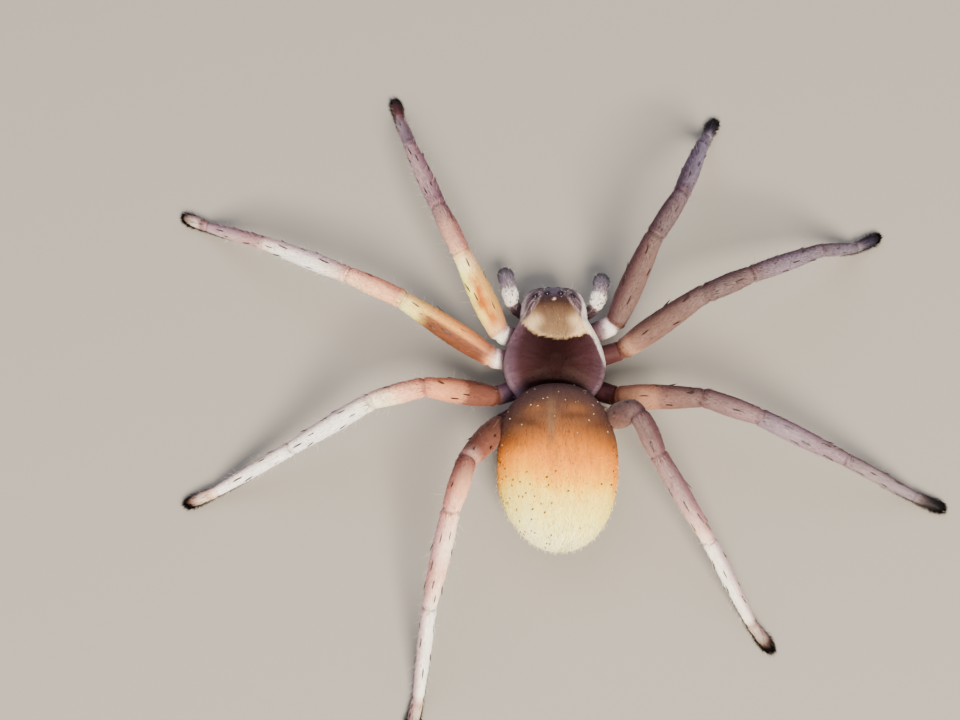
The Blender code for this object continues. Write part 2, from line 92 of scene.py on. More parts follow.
class Region(Enum):
    """The forms that the skin is made of, by the first number of each kind."""

    ABDOMEN = 0
    CARAPACE = 1
    BREAST = 2
    JAW = 3
    PALP = 5
    LEG = 7
    SPINNERETS = 15


def linear(code: str) -> Array:
    """Turns an sRGB hex colour into linear light.

    Args:
        code: Six hex digits.

    Returns:
        Red, green and blue as an array.
    """
    srgb = np.array([int(code[k:k + 2], 16) / 255.0 for k in (0, 2, 4)])
    return np.where(srgb <= 0.04045, srgb / 12.92, ((srgb + 0.055) / 1.055) ** 2.4)


def ease(low: float, high: float, value: Array) -> Array:
    """Returns a smooth step from 0 at low to 1 at high."""
    share = np.clip((value - low) / (high - low), 0.0, 1.0)
    return share * share * (3.0 - 2.0 * share)


def blend(first: Array, second: Array, share: Array) -> Array:
    """Mixes two colours, or lists of them, by a share for each row."""
    return first + (second - first) * share[:, None]


def tone(colours: Array, code: str, share: Array) -> Array:
    """Mixes one hex colour into a list of colours by a share for each row."""
    return blend(colours, linear(code), share)


def plain(code: str, count: int) -> Array:
    """Returns a list that holds one hex colour a number of times."""
    return np.tile(linear(code), (count, 1))


def read_stops(text: str) -> tuple[tuple[float, str], ...]:
    """Reads a row of colour stops.

    Args:
        text: A value and a hex colour for each stop, and a comma between stops.

    Returns:
        The stops as pairs.
    """
    pairs = (stop.split() for stop in text.split(","))
    return tuple((float(value), code) for value, code in pairs)


def ramp(stops: Sequence[tuple[float, str]], value: Array) -> Array:
    """Returns colours along a row of stops.

    Args:
        stops: Pairs of a value and a hex colour, in rising order.
        value: Where to read the ramp.

    Returns:
        One linear colour for each value.
    """
    places = [stop[0] for stop in stops]
    colours = np.array([linear(stop[1]) for stop in stops])
    return np.stack([np.interp(value, places, colours[:, k]) for k in range(3)], axis=1)


def smooth_table(places: Sequence[float], values: Sequence[float], where: Array) -> Array:
    """Reads a table along a smooth curve through its points.

    Args:
        places: Rising or falling places.
        values: The value at each place.
        where: The places to read.

    Returns:
        The values there.
    """
    places = np.asarray(places, float)
    values = np.asarray(values, float)
    if places[0] > places[-1]:
        places, values = places[::-1], values[::-1]
    slopes = np.gradient(values, places)
    k = np.clip(np.searchsorted(places, where) - 1, 0, len(places) - 2)
    width = places[k + 1] - places[k]
    t = np.clip((where - places[k]) / width, 0.0, 1.0)
    start = (2 * t ** 3 - 3 * t ** 2 + 1) * values[k] + (t ** 3 - 2 * t ** 2 + t) * width * slopes[k]
    end = (3 * t ** 2 - 2 * t ** 3) * values[k + 1] + (t ** 3 - t ** 2) * width * slopes[k + 1]
    return start + end


def heading(turn: float, slope: float) -> Array:
    """Returns the direction turned from +Y towards +X and raised by a slope, in degrees.

    Args:
        turn: Degrees from +Y towards +X.
        slope: Degrees above the level.

    Returns:
        A direction of length one.
    """
    flat = math.cos(math.radians(slope))
    east = math.sin(math.radians(turn)) * flat
    north = math.cos(math.radians(turn)) * flat
    return np.array((east, north, math.sin(math.radians(slope))))


def unit(rows: Array) -> Array:
    """Returns each row at length one."""
    return rows / np.maximum(np.linalg.norm(rows, axis=-1, keepdims=True), 1e-12)


# Materials


def add(tree: NodeTree, kind: str, settings: dict, links: dict) -> Node:
    """Adds a shader node.

    Args:
        tree: The material's tree.
        kind: The node's type name.
        settings: Its own properties, and its inputs' values under their names or numbers.
        links: For an input's name or number, the output socket that feeds it.

    Returns:
        The new node.
    """
    node = tree.nodes.new(kind)
    for key, value in settings.items():
        if isinstance(key, str) and hasattr(node, key):
            setattr(node, key, value)
        else:
            node.inputs[key].default_value = value
    for key, socket in links.items():
        tree.links.new(socket, node.inputs[key])
    return node


def new_material(name: str, roughness: float, ior: float,
                 gloss: float = 0.5) -> tuple[Material, NodeTree, Node]:
    """Makes a material with a Principled shader.

    Args:
        name: The material's name.
        roughness: The shader's roughness.
        ior: Its index of refraction.
        gloss: Its specular level.

    Returns:
        The material, its tree and its shader.
    """
    material = bpy.data.materials.new(name)
    material.use_nodes = True
    shader = material.node_tree.nodes["Principled BSDF"]
    shader.inputs["Roughness"].default_value = roughness
    shader.inputs["IOR"].default_value = ior
    shader.inputs["Specular IOR Level"].default_value = gloss
    return material, material.node_tree, shader


@dataclass(frozen=True)
class ShellFinish:
    """Thin living cuticle under down: chitin that looks satin, with faint streaks along each limb."""

    streak_mm: float = 0.45
    streak_shades: tuple[float, float] = (0.8, 1.12)
    grain_mm: float = 0.09
    bump_mm: float = 0.06
    bump_strength: float = 0.35
    roughness: float = 0.5
    ior: float = 1.5
    gloss: float = 0.08

    def make(self) -> Material:
        """Makes the skin's material, whose colour comes from the painted Tint.

        Returns:
            The material.
        """
        material, tree, shader = new_material("chitin_cuticle", self.roughness, self.ior, self.gloss)
        tint = add(tree, "ShaderNodeAttribute", {"attribute_name": "Tint"}, {})
        grain = add(tree, "ShaderNodeAttribute", {"attribute_name": "Grain"}, {})
        streaks = add(tree, "ShaderNodeTexNoise", {"Scale": 1.0 / self.streak_mm, "Detail": 4.0,
                                                   "Roughness": 0.6}, {"Vector": grain.outputs["Vector"]})
        dark, light = self.streak_shades
        shade = add(tree, "ShaderNodeMapRange", {"From Min": 0.3, "From Max": 0.7, "To Min": dark,
                                                 "To Max": light}, {"Value": streaks.outputs["Fac"]})
        colour = add(tree, "ShaderNodeHueSaturation", {}, {"Color": tint.outputs["Color"],
                                                           "Value": shade.outputs["Result"]})
        fine = add(tree, "ShaderNodeTexNoise", {"Scale": 1.0 / self.grain_mm, "Detail": 3.0},
                   {"Vector": grain.outputs["Vector"]})
        bump = add(tree, "ShaderNodeBump", {"Strength": self.bump_strength, "Distance": self.bump_mm * MM},
                   {"Height": fine.outputs["Fac"]})
        tree.links.new(colour.outputs["Color"], shader.inputs["Base Color"])
        tree.links.new(bump.outputs["Normal"], shader.inputs["Normal"])
        return material


@dataclass(frozen=True)
class HairFinish:
    """Fine pale setae: thin chitin hairs, which look matt because they scatter light softly."""

    name: str
    roughness: float = 0.55
    ior: float = 1.5
    gloss: float = 0.05

    def make(self) -> Material:
        """Makes a hair material, whose colour comes from the hairs' painted Tint.

        Returns:
            The material.
        """
        material, tree, shader = new_material(self.name, self.roughness, self.ior, self.gloss)
        tint = add(tree, "ShaderNodeAttribute", {"attribute_name": "Tint"}, {})
        tree.links.new(tint.outputs["Color"], shader.inputs["Base Color"])
        return material


@dataclass(frozen=True)
class HornFinish:
    """Hardened dark cuticle of spines, claws, fangs and eyes: polished, with a brown tinge."""

    name: str
    colour: str
    roughness: float
    mottle_mm: float
    mottle_shades: tuple[float, float] = (0.6, 1.5)
    ior: float = 1.56

    def make(self) -> Material:
        """Makes a dark glossy material with faint mottling.

        Returns:
            The material.
        """
        material, tree, shader = new_material(self.name, self.roughness, self.ior)
        place = add(tree, "ShaderNodeTexCoord", {}, {})
        cloud = add(tree, "ShaderNodeTexNoise", {"Scale": 1.0 / (self.mottle_mm * MM), "Detail": 3.0},
                    {"Vector": place.outputs["Object"]})
        colour = add(tree, "ShaderNodeMix", {"data_type": "RGBA"}, {0: cloud.outputs["Fac"]})
        for socket, factor in zip((6, 7), self.mottle_shades):
            colour.inputs[socket].default_value = (*(linear(self.colour) * factor), 1.0)
        tree.links.new(colour.outputs[2], shader.inputs["Base Color"])
        return material


@dataclass(frozen=True)
class FloorFinish:
    """Smooth pale board under the model: matt."""

    colour: str = "938e87"
    roughness: float = 0.9
    ior: float = 1.5

    def make(self) -> Material:
        """Makes the floor's plain material.

        Returns:
            The material.
        """
        material, _, shader = new_material("pale_board", self.roughness, self.ior)
        shader.inputs["Base Color"].default_value = (*linear(self.colour), 1.0)
        return material


# Mesh making


def deselect() -> None:
    """Leaves nothing selected."""
    bpy.ops.object.select_all(action="DESELECT")


def frame_of(forward: Vector, hint: Vector) -> Matrix:
    """Returns a turn whose Z runs forward and whose X lies towards a hint."""
    across = (hint - forward * hint.dot(forward)).normalized()
    return Matrix((across, forward.cross(across), forward)).transposed()


def extrude_tube(name: str, places: Array, ahead: Array, radii: Array,
                 sides: int) -> Object:
    """Models a closed tube by extruding a disc from place to place.

    Args:
        name: The object's name.
        places: Ring centres in metres.
        ahead: The direction of the tube at each ring.
        radii: Ring radii in metres.
        sides: Faces round the tube.

    Returns:
        The tube, its place in its mesh.
    """
    deselect()
    first = Vector(ahead[0])
    turn = frame_of(first, first.orthogonal()).to_euler()
    bpy.ops.mesh.primitive_circle_add(vertices=sides, radius=radii[0], fill_type="NGON",
                                      location=places[0], rotation=turn)
    tube = bpy.context.object
    bpy.ops.object.mode_set(mode="EDIT")
    for k in range(1, len(places)):
        here = Vector(places[k])
        bpy.ops.mesh.extrude_region_move(TRANSFORM_OT_translate={"value": here - Vector(places[k - 1])})
        grow = radii[k] / radii[k - 1]
        bpy.ops.transform.resize(value=(grow, grow, grow), center_override=here)
        before, after = Vector(ahead[k - 1]), Vector(ahead[k])
        bend = before.angle(after)
        if bend > 1e-4:
            axis = before.cross(after).normalized()
            bpy.ops.transform.rotate(value=-bend, orient_axis="Z", orient_matrix=frame_of(axis, before),
                                     center_override=here)
    bpy.ops.mesh.select_all(action="SELECT")
    bpy.ops.mesh.normals_make_consistent(inside=False)
    bpy.ops.object.mode_set(mode="OBJECT")
    tube.name = name
    bpy.ops.object.transform_apply(location=True, rotation=True, scale=True)
    return tube


def shaped_sphere(name: str, rounds: int, rings: int, shape: Callable) -> Object:
    """Models a closed form by moving the points of a sphere whose poles lie front and rear.

    Args:
        name: The object's name.
        rounds: Points round the form.
        rings: Rings from front to rear.
        shape: Gives places in millimetres for a share from front to rear and a turn from the top.

    Returns:
        The form, its place in its mesh.
    """
    deselect()
    bpy.ops.mesh.primitive_uv_sphere_add(segments=rounds, ring_count=rings, radius=1.0)
    form = bpy.context.object
    form.name = name
    points = read_points(form.data)
    share = np.arccos(np.clip(points[:, 2], -1.0, 1.0)) / math.pi
    turn = np.arctan2(points[:, 0], points[:, 1])
    write_points(form.data, (shape(share, turn) + BODY_PLACE) * MM)
    deselect()
    form.select_set(True)
    bpy.context.view_layer.objects.active = form
    bpy.ops.object.mode_set(mode="EDIT")
    bpy.ops.mesh.select_all(action="SELECT")
    bpy.ops.mesh.normals_make_consistent(inside=False)
    bpy.ops.object.mode_set(mode="OBJECT")
    return form


def read_points(mesh: Mesh) -> Array:
    """Returns a mesh's points as rows.

    Args:
        mesh: The mesh.

    Returns:
        One row for each point.
    """
    points = np.empty(len(mesh.vertices) * 3)
    mesh.vertices.foreach_get("co", points)
    return points.reshape(-1, 3)


def write_points(mesh: Mesh, points: Array) -> None:
    """Moves a mesh's points."""
    mesh.vertices.foreach_set("co", points.ravel())
    mesh.update()


def paint(mesh: Mesh, name: str, kind: str, values: Array) -> None:
    """Stores a value for each point under a name.

    Args:
        mesh: The mesh to paint.
        name: The attribute's name.
        kind: FLOAT_VECTOR or FLOAT_COLOR.
        values: One row for each point; a colour may leave out its alpha.
    """
    layer = mesh.attributes.new(name, kind, "POINT")
    key = {"FLOAT_VECTOR": "vector", "FLOAT_COLOR": "color"}[kind]
    if kind == "FLOAT_COLOR":
        values = np.hstack((values ** TINT_DEPTH, np.ones((len(values), 1))))
    layer.data.foreach_set(key, np.ascontiguousarray(values, np.float32).ravel())


# Forms of the skin


class Form:
    """A closed form that is joined into the skin, with a chart of its surface."""

    region: int
    nodes: list[str]

    def build(self) -> Object:
        """Models the form."""
        raise NotImplementedError

    def chart(self, places: Array) -> tuple[Array, Array]:
        """Returns the share along the form and the turn round it for places in millimetres."""
        raise NotImplementedError

    def lie(self, places: Array) -> Array:
        """Returns the direction that the coat lies in at these places."""
        raise NotImplementedError

    def tint(self, places: Array, normals: Array) -> Array:
        """Returns the colour of the skin at these places."""
        raise NotImplementedError

    def grain(self, places: Array) -> Array:
        """Returns pattern coordinates in millimetres, drawn out along the coat's lie.

        Args:
            places: Places in millimetres.

        Returns:
            Pattern coordinates.
        """
        share, turn = self.chart(places)
        along = share * self.span * 0.2
        return np.stack((along, np.cos(turn) * self.girth, np.sin(turn) * self.girth), axis=1)

    def unwrap(self, places: Array) -> Array:
        """Returns each place's spot on the form's patch of the unwrapped skin.

        Args:
            places: Places in millimetres.

        Returns:
            Places on the unwrapped skin.
        """
        share, turn = self.chart(places)
        left, low, right, high = self.patch
        round_form = turn / (2 * math.pi) + 0.5
        return np.stack((left + (right - left) * share, low + (high - low) * round_form), axis=1)


# the step of a limb's fine line, in millimetres
LINE_STEP = 0.1
# places are looked up in batches of this many, to save memory
BATCH = 4000


@dataclass
class Limb(Form):
    """A limb along a line of corners: its places, directions and lengths at every step."""

    name: str
    region: int
    patch: tuple[float, float, float, float]
    nodes: list[str] = field(default_factory=list)
    girth: float = 1.0
    sides: int = 20
    ring_step: float = 0.5

    def trace(self, points: Array) -> None:
        """Keeps a fine line through the given points with its lengths and directions.

        Args:
            points: Points in order from root to tip.
        """
        steps = np.linalg.norm(np.diff(points, axis=0), axis=1)
        along = np.concatenate(([0.0], np.cumsum(steps)))
        self.span = along[-1]
        self.along = np.linspace(0.0, self.span, int(self.span / LINE_STEP) + 1)
        self.line = np.stack([np.interp(self.along, along, points[:, k]) for k in range(3)], axis=1)
        self.ahead = unit(np.gradient(self.line, axis=0))

    def at(self, along: Array) -> tuple[Array, Array]:
        """Returns centre and direction at lengths along the limb.

        Args:
            along: Lengths from the root in millimetres.

        Returns:
            Centres and directions.
        """
        centre = np.stack([np.interp(along, self.along, self.line[:, k]) for k in range(3)], axis=1)
        ahead = np.stack([np.interp(along, self.along, self.ahead[:, k]) for k in range(3)], axis=1)
        return centre, unit(ahead)

    def radius(self, along: Array) -> Array:
        """Returns the skin's radius at lengths along the limb."""
        raise NotImplementedError

    def rounded(self, along: Array, end: float, share: float) -> Array:
        """Returns a factor on the radius that rounds the limb off over a length at its end."""
        left = np.clip((self.span - along) / end, 0.0, 1.0)
        return np.sqrt(1.0 - (1.0 - left) ** 2 * share)

    def ring_places(self) -> Array:
        """Returns the lengths at which the limb has a ring."""
        return np.linspace(0.0, self.span, int(self.span / self.ring_step) + 1)

    def build(self) -> Object:
        """Models the limb as one extruded tube.

        Returns:
            The new object.
        """
        along = self.ring_places()
        centre, ahead = self.at(along)
        return extrude_tube(self.name, (centre + BODY_PLACE) * MM, ahead, self.radius(along) * MM, self.sides)

    def nearest(self, places: Array) -> Array:
        """Returns the number of the nearest point of the fine line for each place.

        Args:
            places: Places in millimetres.

        Returns:
            Numbers of line points.
        """
        found = np.empty(len(places), int)
        for start in range(0, len(places), BATCH):
            part = places[start:start + BATCH]
            gap = np.linalg.norm(part[:, None, :] - self.line[None, ::2, :], axis=2)
            found[start:start + BATCH] = np.argmin(gap, axis=1) * 2
        return found

    def lengths(self, places: Array) -> Array:
        """Returns the length along the limb for each place."""
        return self.along[self.nearest(places)]

    def chart(self, places: Array) -> tuple[Array, Array]:
        """Returns the share along the limb and the turn round it, 0 on the upper side.

        Args:
            places: Places in millimetres.

        Returns:
            Shares along the form and turns round it.
        """
        k = self.nearest(places)
        out = unit(places - self.line[k])
        ahead = self.ahead[k]
        across = unit(np.cross(ahead, (0.0, 0.0, 1.0)))
        up = np.cross(across, ahead)
        turn = np.arctan2(np.sum(out * across, axis=1), np.sum(out * up, axis=1))
        return self.along[k] / self.span, turn

    def grain(self, places: Array) -> Array:
        """Returns pattern coordinates in millimetres, drawn out along the limb.

        Args:
            places: Places in millimetres.

        Returns:
            Pattern coordinates.
        """
        k = self.nearest(places)
        out = places - self.line[k]
        return np.stack((self.along[k] * 0.22, out[:, 2] + self.region * 7.0, out[:, 0] + out[:, 1]), axis=1)

    def lie(self, places: Array) -> Array:
        """Returns the way to the tip."""
        return self.ahead[self.nearest(places)]


# lengths of femur, patella, tibia, metatarsus and tarsus for each pair, in millimetres
LEG_LENGTHS = {
    1: (12.3, 7.0, 11.6, 10.9, 3.6),
    2: (13.4, 7.0, 12.5, 11.3, 4.0),
    3: (11.6, 6.5, 12.0, 11.2, 4.0),
    4: (12.6, 6.4, 11.8, 11.8, 4.0),
}
LEG_PIECES = ("coxa", "femur", "patella", "tibia", "metatarsus")
LEG_ROOTS = {1: (2.35, 2.4, 4.7), 2: (3.2, -0.3, 4.7), 3: (3.2, -3.2, 4.7), 4: (2.1, -5.7, 4.7)}
# a leg starts this far inside the body, and every hip is this high
ROOT_DEPTH = 1.6
HIP_Z = 5.4
# heights at which the fourth and the fifth free piece end
FOOT_HEIGHTS = (1.2, 0.46)
JOINT_RADII = (1.18, 1.25, 1.18, 1.06, 0.88, 0.7, 0.6)
# each piece is thickest at this share of its length
MIDDLE_RADII = (1.35, 1.62, 1.3, 1.2, 0.92, 0.8)
MIDDLE_AT = (0.5, 0.36, 0.5, 0.34, 0.3, 0.6)
BEND_RADIUS = 2.0
# the right legs are painted darker, with painted shade, and are lifted further towards the paler coat
LIFT = {Side.LEFT: 0.1, Side.RIGHT: 0.24}


@dataclass(frozen=True)
class LegTones:
    """The hex colours that all legs share."""

    pale_coat: str = "c9b9b6"
    # tint of the side in painted shade
    cool_side: str = "cfbbcb"
    streak: str = "b8661e"
    # colour of the painted shadow under some femora
    dusk: str = "865a4a"
    unseen: str = "d6c8c0"
    joint_line: str = "56333a"
    sole: str = "1c1819"
    root_edge: str = "7c3b22"


@dataclass
class Leg(Limb):
    """One leg: coxa, femur, patella, tibia, metatarsus and tarsus in one line."""

    pair: int = 1
    side: Side = Side.LEFT
    hip: tuple[float, float] = (0.0, 0.0)
    turns: tuple[float, ...] = ()
    slopes: tuple[float, ...] = ()
    stops: tuple[tuple[float, str], ...] = ()
    # the direction of the side in painted shade
    cool_side: tuple[float, float, float] = (0.0, 1.0, 0.3)
    shifts: tuple[float, float] = (0.0, 0.0)
    streak: float = 0.0
    # strength of the painted shadow under the femur
    dusk: float = 0.0

    def __post_init__(self) -> None:
        """Lays the line of the leg and finds where its joints are."""
        self.corners = self.find_corners()
        points = [self.corners[0] - unit(self.corners[1] - self.corners[0]) * ROOT_DEPTH]
        joints = [0.0]
        for k in range(1, len(self.corners) - 1):
            points.extend(self.arc(k))
        points.append(self.corners[-1])
        self.trace(np.array(points))
        for corner in self.corners[1:]:
            joints.append(self.along[np.argmin(np.linalg.norm(self.line - corner, axis=1))])
        self.joints = np.array(joints)
        self.joints[0] = ROOT_DEPTH
        self.joints[2:4] += self.shifts
        self.nodes = [f"{self.name}_{piece}" for piece in LEG_PIECES]

    def find_corners(self) -> Array:
        """Returns the corners of the leg's middle line from root to toe.

        Returns:
            The corners in millimetres.
        """
        sign = self.side.value
        root = LEG_ROOTS[self.pair]
        corners = [np.array((sign * root[0], root[1], root[2]))]
        corners.append(np.array((sign * self.hip[0], self.hip[1], HIP_Z)))
        for k, (length, turn) in enumerate(zip(LEG_LENGTHS[self.pair], self.turns)):
            if k < 3:
                slope = self.slopes[k]
            else:
                drop = FOOT_HEIGHTS[k - 3] - corners[-1][2]
                slope = math.degrees(math.asin(drop / length))
            corners.append(corners[-1] + heading(sign * turn, slope) * length)
        return np.array(corners)

    def arc(self, k: int) -> list[Array]:
        """Returns the points of the bend at a corner.

        Args:
            k: The corner's number.

        Returns:
            Points in millimetres.
        """
        corner = self.corners[k]
        before = unit(corner - self.corners[k - 1])
        after = unit(self.corners[k + 1] - corner)
        angle = math.acos(float(np.clip(before @ after, -1.0, 1.0)))
        back = BEND_RADIUS * math.tan(angle / 2)
        inward = unit(after - before * (after @ before))
        steps = max(2, int(math.degrees(angle) / 5))
        found = []
        for n in range(steps + 1):
            part = angle * n / steps
            along = before * math.sin(part) + inward * (1 - math.cos(part))
            found.append(corner - before * back + along * BEND_RADIUS)
        return found

    def piece(self, along: Array) -> Array:
        """Returns piece number plus share of the piece, from 0 at the root to 6 at the toe."""
        return np.interp(along, self.joints, np.arange(7.0))

    def radius(self, along: Array) -> Array:
        """Returns the skin's radius: full in each piece, drawn in at each joint.

        Args:
            along: Lengths from the root in millimetres.

        Returns:
            Radii in millimetres.
        """
        place = self.piece(along)
        k = np.clip(place.astype(int), 0, 5)
        share = place - k
        middle = np.array(MIDDLE_AT)[k]
        start = np.where(share < middle, np.array(JOINT_RADII)[k], np.array(JOINT_RADII)[k + 1])
        climb = np.where(share < middle, share / middle, (1.0 - share) / (1.0 - middle))
        size = start + (np.array(MIDDLE_RADII)[k] - start) * np.sin(np.clip(climb, 0.0, 1.0) * math.pi / 2)
        for joint in self.joints[1:6]:
            gap = along - joint
            dip = 0.1 * np.exp(-(gap / 0.16) ** 2)
            lips = 0.035 * np.exp(-((np.abs(gap) - 0.5) / 0.28) ** 2)
            size = size * (1.0 - dip + lips)
        return (size - COAT_DEPTH) * self.rounded(along, 0.75, 0.93)

    def ring_places(self) -> Array:
        """Returns even rings with closer ones at the joints and the toe.

        Returns:
            Lengths from the root.
        """
        even = np.linspace(0.0, self.span, int(self.span / self.ring_step) + 1)
        steps = (-0.5, -0.3, -0.15, 0.0, 0.15, 0.3, 0.5)
        near = [joint + step for joint in self.joints[1:6] for step in steps]
        near += [self.span - step for step in (0.55, 0.4, 0.27, 0.16, 0.08, 0.03)]
        rings = np.sort(np.concatenate((even, near)))
        keep = np.concatenate(([True], np.diff(rings) > 0.06))
        return rings[keep]

    def streak_share(self, along: Array, turn: Array, piece: Array) -> Array:
        """Returns how strong the wavy, blotched streak on top of the femur is.

        Args:
            along: Lengths from the root in millimetres.
            turn: Turns from the top, in radians.
            piece: Piece numbers plus shares.

        Returns:
            A strength for each place.
        """
        wide = 0.19 + 0.05 * np.sin(along * 1.9)
        band = np.exp(-(np.sin(turn / 2 + 0.17 + 0.05 * np.sin(along * 1.3)) / wide) ** 2)
        band = band * ease(1.06, 1.25, piece) * ease(1.85, 1.55, piece)
        blotch = 0.8 + 0.2 * np.sin(along * 2.6 + 1.0) * np.sin(along * 1.1)
        return np.clip(band * blotch * 1.4, 0.0, 1.0) * self.streak

    def tint(self, places: Array, normals: Array) -> Array:
        """Returns the leg's colours: its own stops, joint lines, one side in painted shade and the opposite
        side in painted light, and on some femora a painted shadow.

        Args:
            places: Places in millimetres.
            normals: The skin's normals there.

        Returns:
            Linear colours.
        """
        tones = LegTones()
        share, turn = self.chart(places)
        along = share * self.span
        curved = along - 0.28 * np.cos(turn)
        piece = self.piece(curved)
        colours = ramp(self.stops, piece)
        lift = LIFT[self.side] * ease(0.9, 1.1, piece) * ease(5.4, 5.0, piece)
        colours = tone(colours, tones.pale_coat, lift)
        # painted shade darkens and cools the side the shade direction points to, and painted light brightens
        # the opposite side
        side = np.array(self.cool_side)
        shade_facing = normals @ (side / np.linalg.norm(side))
        colours = blend(colours, colours * linear(tones.cool_side), ease(-0.1, 0.8, shade_facing) * 0.9)
        colours = blend(colours, np.minimum(colours * 1.15, 0.97), ease(0.0, 0.8, -shade_facing))
        if self.streak:
            colours = tone(colours, tones.streak, self.streak_share(along, turn, piece))
        # painted shadow: the lower side of the femur, where the body's shadow falls, is painted brown
        if self.dusk:
            low = ease(0.24, -0.04, normals @ np.array((0.45, 0.8, 0.38)))
            low = low * ease(1.0, 1.1, piece) * ease(1.86, 1.66, piece)
            colours = tone(colours, tones.dusk, low * self.dusk)
        # the photograph doesn't show the sides that face away from its camera: they stay paler
        hidden = ease(0.36, -0.28, normals @ SEEN_FROM)
        colours = tone(colours, tones.unseen, hidden * 0.7 * ease(5.4, 4.9, piece))
        for joint in self.joints[2:5]:
            line = np.exp(-((curved - joint) / 0.1) ** 2)
            colours = tone(colours, tones.joint_line, line * 0.6)
        sole = ease(4.5, 5.3, piece) * ease(0.1, -0.5, normals[:, 2])
        colours = tone(colours, tones.sole, sole)
        edge = np.exp(-((curved - self.joints[1] - 0.4) / 0.2) ** 2)
        return tone(colours, tones.root_edge, edge * 0.45)


# each leg's colours by piece: 0 to 1 is the coxa, and 5 to 6 the tarsus
LEFT_1 = read_stops("""
    0.0 5b4852, 0.7 8a747c, 0.84 f5efe9, 1.0 f7f0e6, 1.06 f0cc96, 1.3 fcdf80, 1.6 fce48c, 1.76 fdee9c,
    1.85 fff4c0, 2.0 f2d2a4, 2.04 dcb4a0, 2.4 d6ae9c, 2.6 ba9a92, 2.95 a0868a, 3.05 aa8e96, 3.4 c2a8ac,
    3.9 bca0a6, 4.06 a08c98, 4.4 b8a0ae, 4.9 aa929c, 5.04 6c484e, 5.4 62464c, 5.65 503c40, 5.9 201618
""")
LEFT_2 = read_stops("""
    0.0 5b4852, 0.7 8a747c, 0.84 f5efe9, 1.0 dcb090, 1.08 d09a70, 1.35 fac878, 1.6 fcd080, 1.78 fde48c,
    2.0 fbf0b0, 2.04 eebc9c, 2.5 f8caa8, 2.97 fad4b8, 3.03 ecd4c4, 3.12 f2e2d6, 3.35 fefaf4,
    3.85 fcf2e8, 4.03 dcbebc, 4.1 ccaaaa, 4.5 ceb8bc, 4.9 c8b0b8, 5.03 a8888c, 5.14 a08680, 5.35 d6c8c2,
    5.6 b2a49c, 5.85 766058, 5.93 3a2c28
""")
# the femur's dark brown base, up to 1.46, is painted shade
LEFT_3 = read_stops("""
    0.0 5b4858, 0.8 75616f, 0.98 7c564c, 1.1 805244, 1.46 825444, 1.54 c49072, 1.85 e2a880, 1.97 d8a084,
    2.04 e0ac92, 2.35 f0c6a8, 2.6 fce6c8, 2.95 fef2de, 3.05 fdf5e8, 3.35 fffcf6, 4.92 fdf8ee,
    5.06 d8bca8, 5.35 d4c6ba, 5.6 aa9a90, 5.8 6a5046, 5.93 2a1c1a
""")
# the femur's brown part, up to 1.8, is painted shade
LEFT_4 = read_stops("""
    0.0 5b4858, 0.8 6d5863, 1.0 845c50, 1.5 906452, 1.8 946254, 1.95 ccaa9e, 2.03 96685e, 2.2 b48a78,
    2.35 caa28c, 2.6 eebca0, 2.95 f8d0b8, 3.06 f8d8c6, 3.35 fbe6d8, 3.6 f0cebc, 3.85 f8e2d0,
    4.04 fffaf0, 4.95 fffaf0, 5.08 c8aa98, 5.35 d4c8be, 5.6 ac9c94, 5.93 2a1c1a
""")
# the right legs' stops are darker than the left legs' by painted shade
RIGHT_1 = read_stops("""
    0.0 4e3c46, 0.66 7a666e, 0.8 f0eae8, 0.97 dcd3d2, 1.02 5c4844, 1.1 664c46, 1.5 604640, 1.9 5e4642,
    2.04 54464c, 2.5 5a4850, 2.95 605060, 3.06 6c6278, 3.5 76708c, 4.3 747090, 4.95 6e6a84, 5.2 524e60,
    5.4 403c4a, 5.6 2c2a32, 5.85 15151a
""")
RIGHT_2 = read_stops("""
    0.0 5e444a, 0.75 6a4a4a, 0.98 70504e, 1.04 80583e, 1.12 b48e72, 1.2 866050, 1.35 6c4c40, 1.6 6a4c42,
    1.85 684e4a, 2.04 544648, 2.5 5c494c, 2.95 645052, 3.06 70636e, 3.35 7c7286, 3.7 726a80, 4.0 6a6274,
    4.4 726a84, 4.9 666278, 5.15 4a4656, 5.45 4e4a5a, 5.7 36323e, 5.9 100e12
""")
RIGHT_3 = read_stops("""
    0.0 5e444a, 0.75 6e4a4c, 0.96 744636, 1.03 a46c44, 1.12 ae7c5a, 1.35 be9070, 1.48 ae7e60,
    1.56 7c5448, 1.8 705048, 1.95 664a48, 2.04 664e50, 2.4 70585c, 2.6 7e666a, 2.95 7c666e, 3.06 746a7c,
    3.35 8a7c8c, 3.6 827280, 3.95 80707c, 4.04 7a7078, 4.35 8a8088, 4.9 7a7480, 5.1 585054, 5.35 464044,
    5.6 322e32, 5.9 141214
""")
RIGHT_4 = read_stops("""
    0.0 5e444a, 0.72 a5866c, 0.9 f3e2c6, 1.02 ecd2aa, 1.1 b48a6c, 1.35 845c4c, 1.6 745048, 1.8 684a4c,
    1.95 604448, 2.04 62484a, 2.35 6a5052, 2.6 7a5e60, 2.95 8a6c6e, 3.06 887070, 3.35 9c8486,
    3.6 b49a98, 3.8 e0c4b6, 3.93 f8e4d2, 4.05 fffaf2, 4.93 fdf8ee, 5.04 a89080, 5.14 c8bab0,
    5.35 a89c94, 5.5 b8aca2, 5.65 604e48, 5.8 221614
""")
